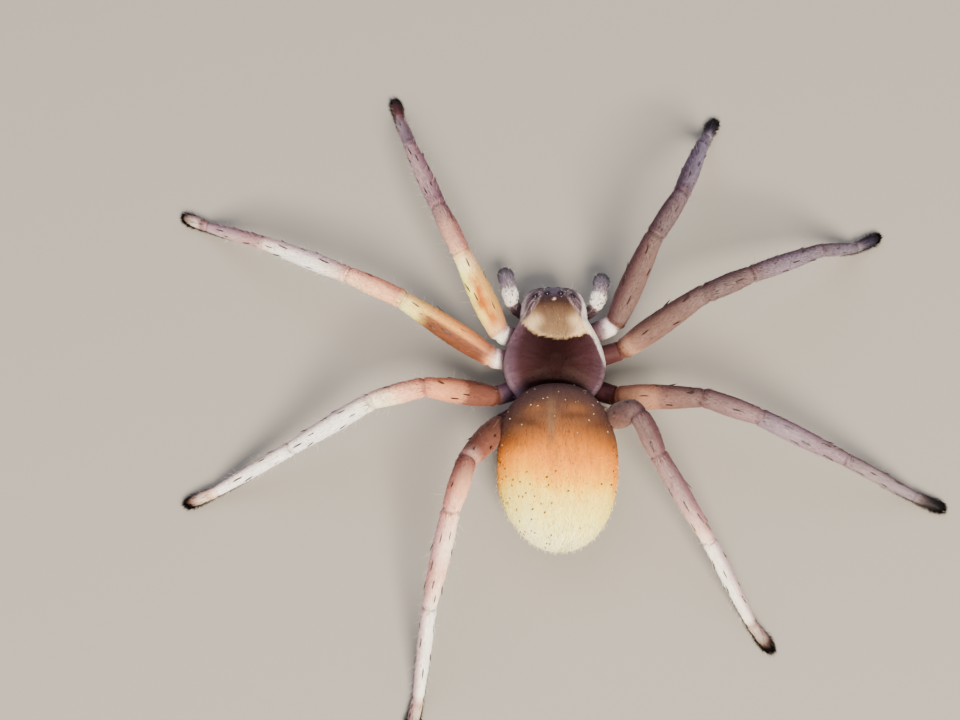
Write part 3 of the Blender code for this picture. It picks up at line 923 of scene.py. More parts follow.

# the side in painted shade, how far the marks of knee and next joint are moved, the streak on the femur
# and the strength of the painted shadow under it follow the pose of each leg
STANCE = (
    {"pair": 1, "side": Side.LEFT, "hip": (6.5, 3.2), "turns": (32, 23, 19, 13, 14), "slopes": (40, -8, -21),
     "stops": LEFT_1, "cool_side": (0.9, 0.3, 0.2), "shifts": (-0.6, -0.7), "streak": 0.9},
    {"pair": 1, "side": Side.RIGHT, "hip": (7.5, 4.5), "turns": (30, 32, 21, 19, 25), "slopes": (50, 3, -27),
     "stops": RIGHT_1, "cool_side": (-0.8, 0.3, 0.1), "shifts": (0.6, 0.0)},
    {"pair": 2, "side": Side.LEFT, "hip": (7.5, 0.1), "turns": (61, 64, 63, 58, 62), "slopes": (18, -1, -11),
     "stops": LEFT_2, "cool_side": (0.3, 0.9, 0.3), "shifts": (-0.5, 0.0), "streak": 0.25, "dusk": 0.95},
    {"pair": 2, "side": Side.RIGHT, "hip": (8.3, 1.1), "turns": (72, 63, 59.5, 57, 60),
     "slopes": (49, -8, -25), "stops": RIGHT_2, "cool_side": (-0.3, 0.9, 0.1), "shifts": (0.6, 0.0)},
    {"pair": 3, "side": Side.LEFT, "hip": (7.2, -4.9), "turns": (102.5, 100, 111, 113, 111),
     "slopes": (44, -15, -30), "stops": LEFT_3, "cool_side": (-0.2, 0.95, 0.1)},
    {"pair": 3, "side": Side.RIGHT, "hip": (7.5, -4.9), "turns": (104, 109, 110, 107, 111),
     "slopes": (31, -4, -20), "stops": RIGHT_3, "cool_side": (0.2, 0.95, 0.0), "shifts": (-0.3, 0.0)},
    {"pair": 4, "side": Side.LEFT, "hip": (6.6, -8.5), "turns": (153, 164, 165, 171, 167),
     "slopes": (48, 11, -36), "stops": LEFT_4, "cool_side": (-0.9, 0.2, 0.2)},
    {"pair": 4, "side": Side.RIGHT, "hip": (6.8, -7.9), "turns": (148, 148, 145, 146, 143),
     "slopes": (75, -41, -27), "stops": RIGHT_4, "cool_side": (0.9, 0.3, 0.1)},
)


PALP_LINE = (
    # distance from the midline, y, z, radius
    (2.9, 5.0, 6.7, 0.62),
    (3.35, 5.5, 5.6, 0.65),
    (4.0, 6.2, 5.0, 0.7),
    (4.8, 7.2, 5.05, 0.84),
    (5.35, 8.6, 5.95, 1.0),
    (5.6, 9.9, 5.75, 0.96),
    (5.75, 11.1, 4.9, 1.04),
    (5.85, 12.0, 3.8, 0.96),
    (5.85, 12.4, 2.9, 0.5),
)
# the feeler's dark root pieces are partly own colour and partly painted shade
PALP_STOPS = read_stops("""
    0.0 54434a, 0.27 5c4a51, 0.33 85757a, 0.38 f0e8e4, 0.52 f6efeb, 0.54 6d6068, 0.56 a79ca6,
    0.7 958c98, 0.85 6f6873, 0.94 454049, 1.0 1d1b20
""")


@dataclass
class Palp(Limb):
    """One feeler: a short limb that arches out before the head."""

    side: Side = Side.LEFT
    spread: float = 1.0
    reach: float = 1.0

    def __post_init__(self) -> None:
        """Lays a smooth line through the feeler's points."""
        table = np.array(PALP_LINE)
        table[:, 0] *= self.side.value * self.spread
        table[:, 1] = table[0, 1] + (table[:, 1] - table[0, 1]) * self.reach
        steps = np.concatenate(([0.0], np.cumsum(np.linalg.norm(np.diff(table[:, :3], axis=0), axis=1))))
        fine = np.linspace(0.0, steps[-1], 120)
        self.trace(np.stack([smooth_table(steps, table[:, k], fine) for k in range(3)], axis=1))
        self.steps = steps * self.span / steps[-1]
        self.sizes = table[:, 3]
        self.nodes = [f"pedipalp_{self.side.word}"]

    def radius(self, along: Array) -> Array:
        """Returns the skin's radius, drawn in at the feeler's joints.

        Args:
            along: Lengths from the root in millimetres.

        Returns:
            Radii in millimetres.
        """
        size = smooth_table(self.steps, self.sizes, along)
        for joint in (0.2, 0.35, 0.54):
            size = size * (1.0 - 0.12 * np.exp(-((along - joint * self.span) / 0.16) ** 2))
        return (size - COAT_DEPTH) * self.rounded(along, 0.5, 0.9)

    def ring_places(self) -> Array:
        """Returns close rings."""
        even = np.linspace(0.0, self.span - 0.3, 46)
        return np.concatenate((even, self.span - np.array((0.2, 0.1, 0.03))))

    def tint(self, places: Array, normals: Array) -> Array:
        """Returns the feeler's colours: mauve, with a white piece and a dark tip."""
        share, _ = self.chart(places)
        return ramp(PALP_STOPS, share)


JAW_TOP = (1.66, 6.9, 6.2)
JAW_TIP = (1.6, 8.6, 2.3)
JAW_RADII = (1.2, 1.48, 1.45, 1.05, 0.75)


@dataclass
class Jaw(Limb):
    """One chelicera: the stout base that hangs under the face and carries a fang."""

    side: Side = Side.LEFT

    def __post_init__(self) -> None:
        """Lays the jaw's straight line."""
        top = np.array((self.side.value * JAW_TOP[0], *JAW_TOP[1:]))
        tip = np.array((self.side.value * JAW_TIP[0], *JAW_TIP[1:]))
        self.trace(np.array((top - (tip - top) * 0.14, tip)))
        self.nodes = [f"chelicera_{self.side.word}"]

    def radius(self, along: Array) -> Array:
        """Returns the skin's radius, rounded off at the end."""
        size = smooth_table(np.linspace(0.0, 1.0, 5) * self.span, JAW_RADII, along)
        return (size - COAT_DEPTH) * self.rounded(along, 0.7, 0.96)

    def ring_places(self) -> Array:
        """Returns close rings."""
        even = np.linspace(0.0, self.span - 0.4, 14)
        return np.concatenate((even, self.span - np.array((0.28, 0.16, 0.06, 0.0))))

    def tint(self, places: Array, normals: Array) -> Array:
        """Returns the jaw's colours: grey-mauve above, dark at the fang."""
        share, _ = self.chart(places)
        return ramp(((0.0, "a0928e"), (0.5, "8a7a78"), (0.8, "54464a"), (1.0, "2b2024")), share)


SPINNERET_ROOT = (0.4, -21.6, 3.1)
SPINNERETS = (
    # across, drop, radius, length
    (-0.42, 0.3, 0.36, 1.5),
    (0.42, 0.3, 0.36, 1.5),
    (-0.4, -0.45, 0.32, 1.3),
    (0.4, -0.45, 0.32, 1.3),
)


@dataclass
class Spinneret(Limb):
    """One spinneret, or with number 0 the short root that all four stand on."""

    number: int = 0

    def __post_init__(self) -> None:
        """Lays the spinneret's straight line."""
        back = heading(180.0, -60.0)
        across = np.array((1.0, 0.0, 0.0))
        down = np.cross(back, across)
        root = np.array(SPINNERET_ROOT)
        if self.number:
            aside, drop, self.size, length = SPINNERETS[self.number - 1]
            start = root + across * aside + down * drop + back * 0.3
            self.trace(np.array((start, start + (back + across * aside * 0.3) * (length + 0.15))))
        else:
            self.size = 1.0
            self.nodes = ["spinnerets"]
            self.trace(np.array((root - back * 1.6, root + back * 0.95)))

    def radius(self, along: Array) -> Array:
        """Returns the skin's radius, with one ring drawn in and the end rounded off.

        Args:
            along: Lengths from the root in millimetres.

        Returns:
            Radii in millimetres.
        """
        share = along / self.span
        ring = 1.0 - 0.1 * np.exp(-((share - 0.62) / 0.05) ** 2)
        return self.size * (0.97 - 0.22 * share) * ring * self.rounded(along, self.size * 0.9, 0.93)

    def tint(self, places: Array, normals: Array) -> Array:
        """Returns the spinneret's colours: tan, darker towards its tip."""
        share, _ = self.chart(places)
        return ramp(((0.0, "c0a184"), (0.6, "9a755c"), (0.85, "6b4c40"), (1.0, "3c2a27")), share)


# the abdomen's colours by distance behind the waist, along the top and on the flanks
# along the top, the dark front is partly painted shade and the near white rear partly painted sunlight
EGG_TOP_WITH_PAINTED_LIGHT = read_stops("""
    4.6 665254, 6.3 6c5656, 7.9 705850, 9.1 7a5c4e, 10.4 8c684e, 11.8 a47248, 13.2 c68640, 14.4 eca430,
    15.5 f6b92c, 16.3 fac236, 16.9 fcd250, 17.9 fee47c, 19.6 fff098, 21.4 fff8b8, 24.0 fffce0
""")
EGG_FLANK = read_stops("""
    4.6 4c3d40, 9.0 7c6152, 13.0 b8946e, 18.0 e3cfa6, 24.5 f3e8cc
""")
EGG_STRIPE = "8d7864"
EGG_GLOW = "a47854"
EGG_PATCH = "5b3f30"
EGG_PATCHES = (
    # x, y, half width, half length, slant, strength
    (-3.3, -10.7, 1.8, 0.5, 0.42, 0.55),
    (1.9, -9.9, 1.7, 0.42, -0.12, 0.6),
    (-5.4, -12.2, 0.9, 0.7, 0.35, 0.2),
    (4.4, -10.8, 1.2, 0.5, -0.3, 0.4),
)


@dataclass
class Abdomen(Form):
    """The large egg of the abdomen, blunt in front and bristly behind."""

    name: str = "abdomen"
    region: int = Region.ABDOMEN.value
    patch: tuple[float, float, float, float] = (0.01, 0.67, 0.48, 0.99)
    nodes: tuple[str, ...] = ("abdomen",)
    front: tuple[float, float] = (-4.7, 8.9)
    rear: tuple[float, float] = (-24.2, 5.9)
    half_width: float = 7.15
    half_height: float = 5.6
    bluntness: float = 2.4
    taper: float = 2.05
    sway: float = 0.25
    span: float = 19.7
    girth: float = 5.0

    def __post_init__(self) -> None:
        """Finds the egg's axis and its upward direction."""
        self.start = np.array((0.0, *self.front))
        self.axis = np.array((0.0, *self.rear)) - self.start
        self.forward = unit(self.axis)
        self.up = np.cross((-1.0, 0.0, 0.0), self.forward)

    def shape(self, share: Array, turn: Array) -> Array:
        """Returns places on the egg for a share from front to rear and a turn from the top.

        Args:
            share: Shares from front to rear.
            turn: Turns from the top, in radians.

        Returns:
            Places in millimetres.
        """
        along = 0.5 - 0.5 * np.cos(math.pi * share)
        power = np.where(along < 0.5, self.bluntness, self.taper)
        size = (1 - np.abs(2 * along - 1) ** power) ** (1 / power)
        middle = self.start + self.axis * along[:, None]
        middle[:, 0] += self.sway * along ** 2
        lumps = 0.05 * np.sin(turn * 3 + along * 9) * size + 0.04 * np.sin(turn * 5 - along * 14) * size
        wide = (self.half_width - COAT_DEPTH + lumps) * size * np.sin(turn)
        high = (self.half_height - COAT_DEPTH + lumps) * size * np.cos(turn)
        return middle + wide[:, None] * np.array((1.0, 0.0, 0.0)) + high[:, None] * self.up

    def build(self) -> Object:
        """Models the egg from a sphere."""
        return shaped_sphere(self.name, 120, 84, self.shape)

    def chart(self, places: Array) -> tuple[Array, Array]:
        """Returns the share from front to rear and the turn from the top.

        Args:
            places: Places in millimetres.

        Returns:
            Shares along the form and turns round it.
        """
        out = places - self.start
        share = np.clip(out @ self.forward / np.linalg.norm(self.axis), 0.0, 1.0)
        rise = (out - np.outer(out @ self.forward, self.forward)) @ self.up
        return share, np.arctan2(out[:, 0] / self.half_width, rise / self.half_height)

    def lie(self, places: Array) -> Array:
        """Returns the way to the rear, fanning out a little.

        Args:
            places: Places in millimetres.

        Returns:
            Directions of length one.
        """
        lie = np.tile(np.array((0.0, -1.0, -0.12)), (len(places), 1))
        lie[:, 0] = places[:, 0] * 0.03
        return unit(lie)

    def tint(self, places: Array, normals: Array) -> Array:
        """Returns the egg's colours: mauve-grey front, tan saddle, cream to near white behind; the dark front
        is partly painted shade and the near white rear partly painted sunlight.

        Args:
            places: Places in millimetres.
            normals: The skin's normals there.

        Returns:
            Linear colours.
        """
        x, y = places[:, 0], places[:, 1]
        wave = 0.22 * np.sin(x * 1.15 + 0.6) + 0.2 * np.sin(x * 2.7 + y * 0.4)
        wave = wave + 0.12 * np.sin(x * 6.1 - y * 1.3)
        middle = 1.6 * np.exp(-((x - 0.6) / 2.9) ** 2) + 0.16 * np.abs(x) * (x > 0)
        depth = -y + (wave - middle) * ease(-13.0, -16.0, y) - 0.06 * x ** 2 * ease(-14.0, -9.0, y)
        # the top's colours are partly own colour and partly painted light: shade in front, sunlight behind
        top = ramp(EGG_TOP_WITH_PAINTED_LIGHT, depth)
        stripe = np.exp(-((x + 0.85) / 0.5) ** 2) * ease(-14.6, -12.0, y) * ease(-6.6, -8.6, y)
        top = tone(top, EGG_STRIPE, stripe * 0.6)
        for cx, cy, wide, long, slant, strength in EGG_PATCHES:
            patch = np.exp(-((x - cx) / wide) ** 2 - ((y - cy + slant * (x - cx)) / long) ** 2)
            top = tone(top, EGG_PATCH, patch * strength)
        glow = np.exp(-((np.abs(x + 0.2) - 2.4) / 1.3) ** 2 - ((y + 9.0) / 0.7) ** 2)
        top = tone(top, EGG_GLOW, glow * 0.6)
        return blend(top, ramp(EGG_FLANK, -y), ease(0.2, -0.5, normals[:, 2]))


CARAPACE_TABLE = (
    # y, half width, top
    (8.62, 0.0, 7.2),
    (8.4, 2.25, 7.95),
    (7.9, 3.15, 8.65),
    (6.8, 3.85, 9.3),
    (5.4, 4.15, 9.6),
    (4.3, 4.25, 9.7),
    (3.4, 4.7, 9.76),
    (1.8, 5.45, 9.9),
    (0.0, 6.05, 9.9),
    (-1.7, 6.25, 9.7),
    (-3.3, 6.0, 9.2),
    (-4.7, 5.3, 8.5),
    (-5.9, 4.1, 7.7),
    (-6.6, 2.6, 7.2),
    (-6.9, 0.0, 6.9),
)
EYES = (
    # name, distance from the midline, y, z, radius
    ("eye_rear_middle", 0.82, 7.12, 9.02, 0.25),
    ("eye_rear_outer", 2.25, 6.85, 8.74, 0.3),
    ("eye_front_middle", 0.6, 8.25, 7.95, 0.32),
    ("eye_front_outer", 1.55, 8.1, 7.85, 0.36),
)
# the middle groove of the chest, which its rays and its down run out from
GROOVE_Y = -2.4
# where the pale patch of the head ends against the dark chest: x and y
PATCH_EDGE = ((-4.4, 4.5), (-4.05, 3.8), (-2.64, 1.86), (-1.22, 1.13), (0.1, 0.85), (1.39, 0.87), (2.0, 1.08),
              (3.0, 1.4), (3.6, 1.85))
# how wide the painted sunlit rim on the right edge is: y and width
SUNLIT_RIM_WIDTHS = ((-2.4, 0.1), (-1.8, 0.4), (-0.3, 0.9), (1.4, 1.15), (2.4, 1.45), (3.5, 1.2), (5.0, 0.85),
                 (7.0, 0.4))
# the head's colours by y, from the chest to the face
HEAD_STOPS = read_stops("""
    0.5 a08a70, 2.5 988066, 4.2 8a725e, 5.2 745c4e, 6.0 54423c, 6.6 54454c, 7.2 6c6070, 7.9 767082,
    8.4 a0949a, 8.6 a89ca0
""")


@dataclass(frozen=True)
class ShieldTones:
    """The hex colours of chest and head that aren't in the head's row of stops."""

    groove: str = "361614"
    chest: str = "5a4044"
    chest_rear: str = "401814"
    haze: str = "866f7c"
    shoulder: str = "a08c98"
    blond: str = "f2dab4"
    patch_rim: str = "f6d8a8"
    cheek: str = "6c5c68"
    cheek_dark: str = "4c3e44"
    cheek_line: str = "d2c6c6"
    ridge: str = "e8d4c0"
    head_rim: str = "dcd0d4"
    spot: str = "f2d6cc"
    silver: str = "f8f4f0"
    eye_rim: str = "1a1216"
    underside: str = "4a3840"


def eight_eyes() -> Iterator[tuple[str, Array, float]]:
    """Gives each eye's node name, its centre in millimetres and its radius.

    Yields:
        Name, centre and radius of one eye.
    """
    for name, x, y, z, size in EYES:
        for side in Side:
            yield f"{name}_{side.word}", np.array((side.value * x, y, z)), size


@dataclass
class Carapace(Form):
    """The domed shield of the head and chest, thin-rimmed, with its groove and eye mounds."""

    name: str = "carapace"
    region: int = Region.CARAPACE.value
    patch: tuple[float, float, float, float] = (0.5, 0.67, 0.74, 0.99)
    nodes: tuple[str, ...] = ("cephalothorax",)
    rim: float = 6.85
    belly: float = 1.1
    power: float = 0.86
    span: float = 15.5
    girth: float = 5.0

    def shape(self, share: Array, turn: Array) -> Array:
        """Returns places on the shield for a share from front to rear and a turn from the top.

        Args:
            share: Shares from front to rear.
            turn: Turns from the top, in radians.

        Returns:
            Places in millimetres.
        """
        table = np.array(CARAPACE_TABLE)
        along = 0.5 - 0.5 * np.cos(math.pi * share)
        y = table[0, 0] + (table[-1, 0] - table[0, 0]) * along
        half = np.interp(y, table[::-1, 0], table[::-1, 1])
        smooth = smooth_table(table[:, 0], table[:, 1], y)
        thin = COAT_DEPTH * ease(0.0, 0.1, share) * ease(1.0, 0.9, share)
        half = np.maximum(np.where((y < 8.3) & (y > -6.5), smooth, half) - thin, 0.0)
        top = smooth_table(table[:, 0], table[:, 2], y) - COAT_DEPTH
        sine, cosine = np.sin(turn), np.cos(turn)
        x = half * np.sign(sine) * np.abs(sine) ** self.power
        rise = np.where(cosine > 0, (top - self.rim) * np.abs(cosine) ** self.power,
                        -self.belly * np.abs(cosine) ** 0.7 * np.minimum(half / 3.0, 1.0))
        groove = 0.2 * np.exp(-(x / 0.22) ** 2) * ease(-3.6, -3.0, y) * ease(-0.9, -1.6, y)
        reach = np.hypot(x, y - GROOVE_Y)
        across = np.arctan2(np.abs(x), y - GROOVE_Y)
        neck = 0.1 * np.exp(-((across - 0.98) / 0.1) ** 2) * ease(0.8, 2.2, reach)
        neck = neck * ease(7.2, 5.0, reach)
        rays = 0.035 * np.cos(across * 9.0) * ease(0.6, 2.5, reach) * ease(6.5, 4.5, reach)
        z = self.rim + rise - (groove + neck + rays) * ease(0.1, 0.6, cosine)
        places = np.stack((x, y, z), axis=1)
        for _, centre, size in eight_eyes():
            gap = np.linalg.norm(places - centre, axis=1)
            places[:, 2] += np.exp(-(gap / (size * 1.5)) ** 2) * 0.05
        return places

    def build(self) -> Object:
        """Models the shield from a sphere."""
        return shaped_sphere(self.name, 128, 96, self.shape)

    def chart(self, places: Array) -> tuple[Array, Array]:
        """Returns the share from front to rear and the turn from the top."""
        share = np.clip((CARAPACE_TABLE[0][0] - places[:, 1]) / self.span, 0.0, 1.0)
        return share, np.arctan2(places[:, 0], places[:, 2] - self.rim)

    def grain(self, places: Array) -> Array:
        """Returns pattern coordinates that run out from the middle groove.

        Args:
            places: Places in millimetres.

        Returns:
            Pattern coordinates.
        """
        x, y = places[:, 0], places[:, 1] - GROOVE_Y
        reach = np.hypot(x, y)
        around = np.arctan2(x, y)
        return np.stack((reach * 0.25, np.cos(around) * 4.5, np.sin(around) * 4.5), axis=1)

    def lie(self, places: Array) -> Array:
        """Returns the way the down lies: out from the groove, and back from the face on the head.

        Args:
            places: Places in millimetres.

        Returns:
            Directions of length one.
        """
        x, y = places[:, 0], places[:, 1]
        zeros, ones = np.zeros(len(places)), np.ones(len(places))
        out = np.stack((x, y - GROOVE_Y, zeros), axis=1)
        back = np.stack((x * 0.12, -ones, zeros), axis=1)
        down = np.stack((x * 0.2, zeros, -ones), axis=1)
        back = blend(unit(back), unit(down), ease(7.6, 8.2, y))
        return unit(blend(unit(out), unit(back), ease(0.5, 2.0, y)))

    def chest_tint(self, x: Array, y: Array, margin: Array) -> Array:
        """Returns the chest's plum, darkest round the groove, hazed with mauve at the margin, and darker at
        the rear next to the abdomen by painted shade.

        Args:
            x: Distances to the right.
            y: Distances forward.
            margin: Distances from the shield's edge.

        Returns:
            Linear colours.
        """
        tones = ShieldTones()
        plum = plain(tones.groove, len(x))
        plum = tone(plum, tones.chest, ease(0.6, 4.8, np.abs(x + 0.1)))
        # painted shade: the chest's rear, next to the abdomen, is made darker and redder
        plum = tone(plum, tones.chest_rear, ease(-1.6, -3.4, y) * ease(4.4, 2.0, np.abs(x)) * 0.7)
        plum = tone(plum, tones.haze, ease(2.2, 0.5, margin) * (0.45 + 0.45 * (x < 0)))
        return tone(plum, tones.shoulder, ease(0.9, 0.2, margin) * ease(4.9, 3.9, y) * 0.85)

    def cheek_tint(self, front: Array, x: Array, y: Array) -> Array:
        """Returns the head's colours with finely lined cheeks made dark by painted shade, and the pale ridge
        over them.

        Args:
            front: The head's colours so far.
            x: Distances to the right.
            y: Distances forward.

        Returns:
            Linear colours.
        """
        tones = ShieldTones()
        across = np.abs(x) - 2.9 + (y - 4.3) * 0.6
        cheek = ease(-0.2, 0.2, across) * ease(3.3, 4.4, y) * ease(8.3, 7.7, y)
        around = np.arctan2(np.abs(x) - 0.4, 9.0 - y)
        waves = np.sin(around * 51.0 + 1.7 * np.sin(y * 2.1 + x * 0.5))
        waves = waves + 0.7 * np.sin(around * 87.0 - y * 2.3 + x * 1.4)
        lines = ease(0.1, 1.6, waves + 0.6 * np.sin(around * 31.0 + y * 1.9))
        # painted shade: the cheeks are made a darker lilac-grey
        front = tone(front, tones.cheek, cheek * 0.8)
        front = tone(front, tones.cheek_dark, cheek * ease(-0.4, -1.5, waves) * 0.35)
        front = tone(front, tones.cheek_line, cheek * lines * 0.5)
        ridge = np.exp(-((across - 0.02 + 0.05 * np.sin(y * 9.0)) / 0.1) ** 2)
        return tone(front, tones.ridge, ridge * ease(2.8, 3.8, y) * ease(6.8, 5.6, y) * 0.25)

    def head_tint(self, x: Array, y: Array, margin: Array, beyond: Array,
                  upward: Array) -> Array:
        """Returns the head's colours: blond patch, grey face, pale rim painted brighter on the right as
        painted light, and a painted highlight between the eyes.

        Args:
            x: Distances to the right.
            y: Distances forward.
            margin: Distances from the shield's edge.
            beyond: Distances in front of the patch's edge.
            upward: How far the skin faces upwards.

        Returns:
            Linear colours.
        """
        tones = ShieldTones()
        front = ramp(HEAD_STOPS, y)
        blond = ease(1.1, 3.0, np.abs(x - 0.1) + 0.25 * np.sin(y * 2.3)) * ease(5.6, 3.0, y)
        front = tone(front, tones.blond, blond * 0.85)
        front = tone(front, tones.patch_rim, ease(0.5, 0.0, beyond) * 0.45)
        front = self.cheek_tint(front, x, y)
        # painted light: the pale rim is brighter where it faces up and much brighter on the right side
        outer = ease(0.9, 0.4, margin) * ease(3.2, 4.4, y) * ease(8.3, 7.4, y)
        outer = outer * (0.3 + 0.7 * ease(-0.1, 0.3, upward))
        front = tone(front, tones.head_rim, outer * (0.45 + 0.5 * (x > 0)))
        # painted highlight between the eyes
        spot = np.exp(-((x - 0.03) / 0.12) ** 2 - ((y - 6.21) / 0.14) ** 2)
        return tone(front, tones.spot, np.clip(spot * 1.4, 0.0, 1.0))

    def silver_share(self, x: Array, y: Array, margin: Array, upward: Array) -> Array:
        """Returns how strong the grainy pale edge is, painted on the right side only as a sunlit rim: painted
        light.

        Args:
            x: Distances to the right.
            y: Distances forward.
            margin: Distances from the shield's edge.
            upward: How far the skin faces upwards.

        Returns:
            A strength for each place.
        """
        broad = smooth_table(*zip(*SUNLIT_RIM_WIDTHS), np.clip(y, -2.4, 7.0))
        silver = ease(broad + 0.1, broad - 0.16, margin) * (x > 0) * ease(-2.4, -1.6, y) * ease(7.0, 5.0, y)
        grains = 0.72 + 0.28 * np.sin(x * 23.0 + y * 9.0) * np.sin(y * 19.0 - x * 11.0)
        grains = grains * (1.0 - 0.3 * ease(1.6, 2.6, y))
        silver = silver * (0.2 + 0.8 * ease(0.0, 0.4, upward))
        return np.clip(silver * grains * 1.1, 0.0, 1.0)

    def tint(self, places: Array, normals: Array) -> Array:
        """Returns the shield's colours: beige-gold head patch, plum chest, pale rims, and a painted sunlit
        rim on the right edge.

        Args:
            places: Places in millimetres.
            normals: The skin's normals there.

        Returns:
            Linear colours.
        """
        tones = ShieldTones()
        x, y = places[:, 0], places[:, 1]
        upward = normals[:, 2]
        table = np.array(CARAPACE_TABLE)
        margin = smooth_table(table[:, 0], table[:, 1], y) - np.abs(x)
        edge = smooth_table(*zip(*PATCH_EDGE), np.clip(x, -4.4, 3.6))
        edge = edge + 0.07 * np.sin(x * 17.0) + 0.05 * np.sin(x * 41.0)
        front = self.head_tint(x, y, margin, y - edge, upward)
        colours = blend(self.chest_tint(x, y, margin), front, ease(-0.07, 0.1, y - edge))
        # painted highlight: the sunlit rim on the right edge
        colours = tone(colours, tones.silver, self.silver_share(x, y, margin, upward))
        for _, centre, size in eight_eyes():
            gap = np.linalg.norm(places - centre, axis=1)
            colours = tone(colours, tones.eye_rim, ease(size + 0.2, size + 0.02, gap) * 0.9)
        return tone(colours, tones.underside, ease(0.0, -0.5, upward))


# y, and the breast's half width, the height of its middle and its depth below that
BREAST_HALF_WIDTHS = ((4.9, 0.0), (4.3, 1.3), (2.0, 2.6), (-1.0, 3.3), (-4.0, 2.9), (-6.4, 1.5), (-7.2, 0.72),
                      (-8.3, 0.0))
BREAST_MIDDLES = ((4.9, 5.3), (2.0, 5.1), (-6.0, 5.2), (-7.2, 5.6), (-8.3, 5.7))
BREAST_DEPTHS = ((4.9, 0.0), (4.2, 1.5), (0.0, 1.72), (-5.5, 1.6), (-6.8, 1.1), (-7.6, 0.62), (-8.3, 0.0))


@dataclass
class Breast(Form):
    """The breast plate under the chest, with the waist behind it."""

    name: str = "breast"
    region: int = Region.BREAST.value
    patch: tuple[float, float, float, float] = (0.76, 0.67, 0.99, 0.84)
    nodes: tuple[str, ...] = ("sternum", "pedicel")
    front: float = 4.9
    length: float = 13.2
    middle: float = 5.2
    span: float = 13.0
    girth: float = 3.0

    def shape(self, share: Array, turn: Array) -> Array:
        """Returns places on the breast for a share from front to rear and a turn from the top.

        Args:
            share: Shares from front to rear.
            turn: Turns from the top, in radians.

        Returns:
            Places in millimetres.
        """
        along = 0.5 - 0.5 * np.cos(math.pi * share)
        y = self.front - self.length * along
        half = np.maximum(smooth_table(*zip(*BREAST_HALF_WIDTHS), y), 0.0)
        middle = smooth_table(*zip(*BREAST_MIDDLES), y)
        low = smooth_table(*zip(*BREAST_DEPTHS), y)
        up = np.minimum(low * 1.1, half * 1.2)
        sine, cosine = np.sin(turn), np.cos(turn)
        z = middle + np.where(cosine > 0, up * cosine, low * np.sign(cosine) * np.abs(cosine) ** 0.8)
        return np.stack((half * sine, y, z), axis=1)

    def build(self) -> Object:
        """Models the breast from a sphere."""
        return shaped_sphere(self.name, 64, 56, self.shape)

    def chart(self, places: Array) -> tuple[Array, Array]:
        """Returns the share from front to rear and the turn from the top."""
        share = np.clip((self.front - places[:, 1]) / self.length, 0.0, 1.0)
        return share, np.arctan2(places[:, 0], places[:, 2] - self.middle)

    def lie(self, places: Array) -> Array:
        """Returns the way to the rear."""
        return np.tile(np.array((0.0, -1.0, 0.0)), (len(places), 1))

    def tint(self, places: Array, normals: Array) -> Array:
        """Returns the breast's dull mauve-brown."""
        share, _ = self.chart(places)
        return ramp(((0.0, "7a686a"), (0.5, "6c585c"), (1.0, "7e6c6e")), share)


def all_forms() -> list[Form]:
    """Returns every form of the skin; its place in the list is its number.

    Returns:
        Abdomen, carapace, breast, jaws, feelers, legs and spinnerets, each with its patch of the
        unwrapped skin as left, low, right and high edge.
    """
    forms: list[Form] = [Abdomen(), Carapace(), Breast()]
    for k, side in enumerate(Side):
        patch = (0.76, 0.86 + 0.065 * k, 0.99, 0.91 + 0.065 * k)
        forms.append(Jaw(f"jaw_{side.word}", Region.JAW.value + k, patch, side=side, girth=1.3))
    for k, side in enumerate(Side):
        patch = (0.01 + 0.5 * k, 0.61, 0.48 + 0.5 * k, 0.66)
        forms.append(Palp(f"palp_{side.word}", Region.PALP.value + k, patch, side=side,
                          spread=(0.99, 1.07)[k], reach=(1.0, 0.88)[k], girth=0.8))
    for k, stance in enumerate(STANCE):
        patch = (0.01, 0.005 + 0.075 * k, 0.99, 0.07 + 0.075 * k)
        name = f"leg_{stance['pair']}_{stance['side'].word}"
        forms.append(Leg(name, Region.LEG.value + k, patch, **stance))
    for k in range(len(SPINNERETS) + 1):
        patch = (0.76 + 0.04 * k, 0.61, 0.79 + 0.04 * k, 0.66)
        forms.append(Spinneret(f"spinneret_{k}", Region.SPINNERETS.value + k, patch,
                               number=k, girth=0.4, sides=14, ring_step=0.25))
    return forms


# points of the joined skin that lie closer than this, in metres, become one
WELD = 0.00001


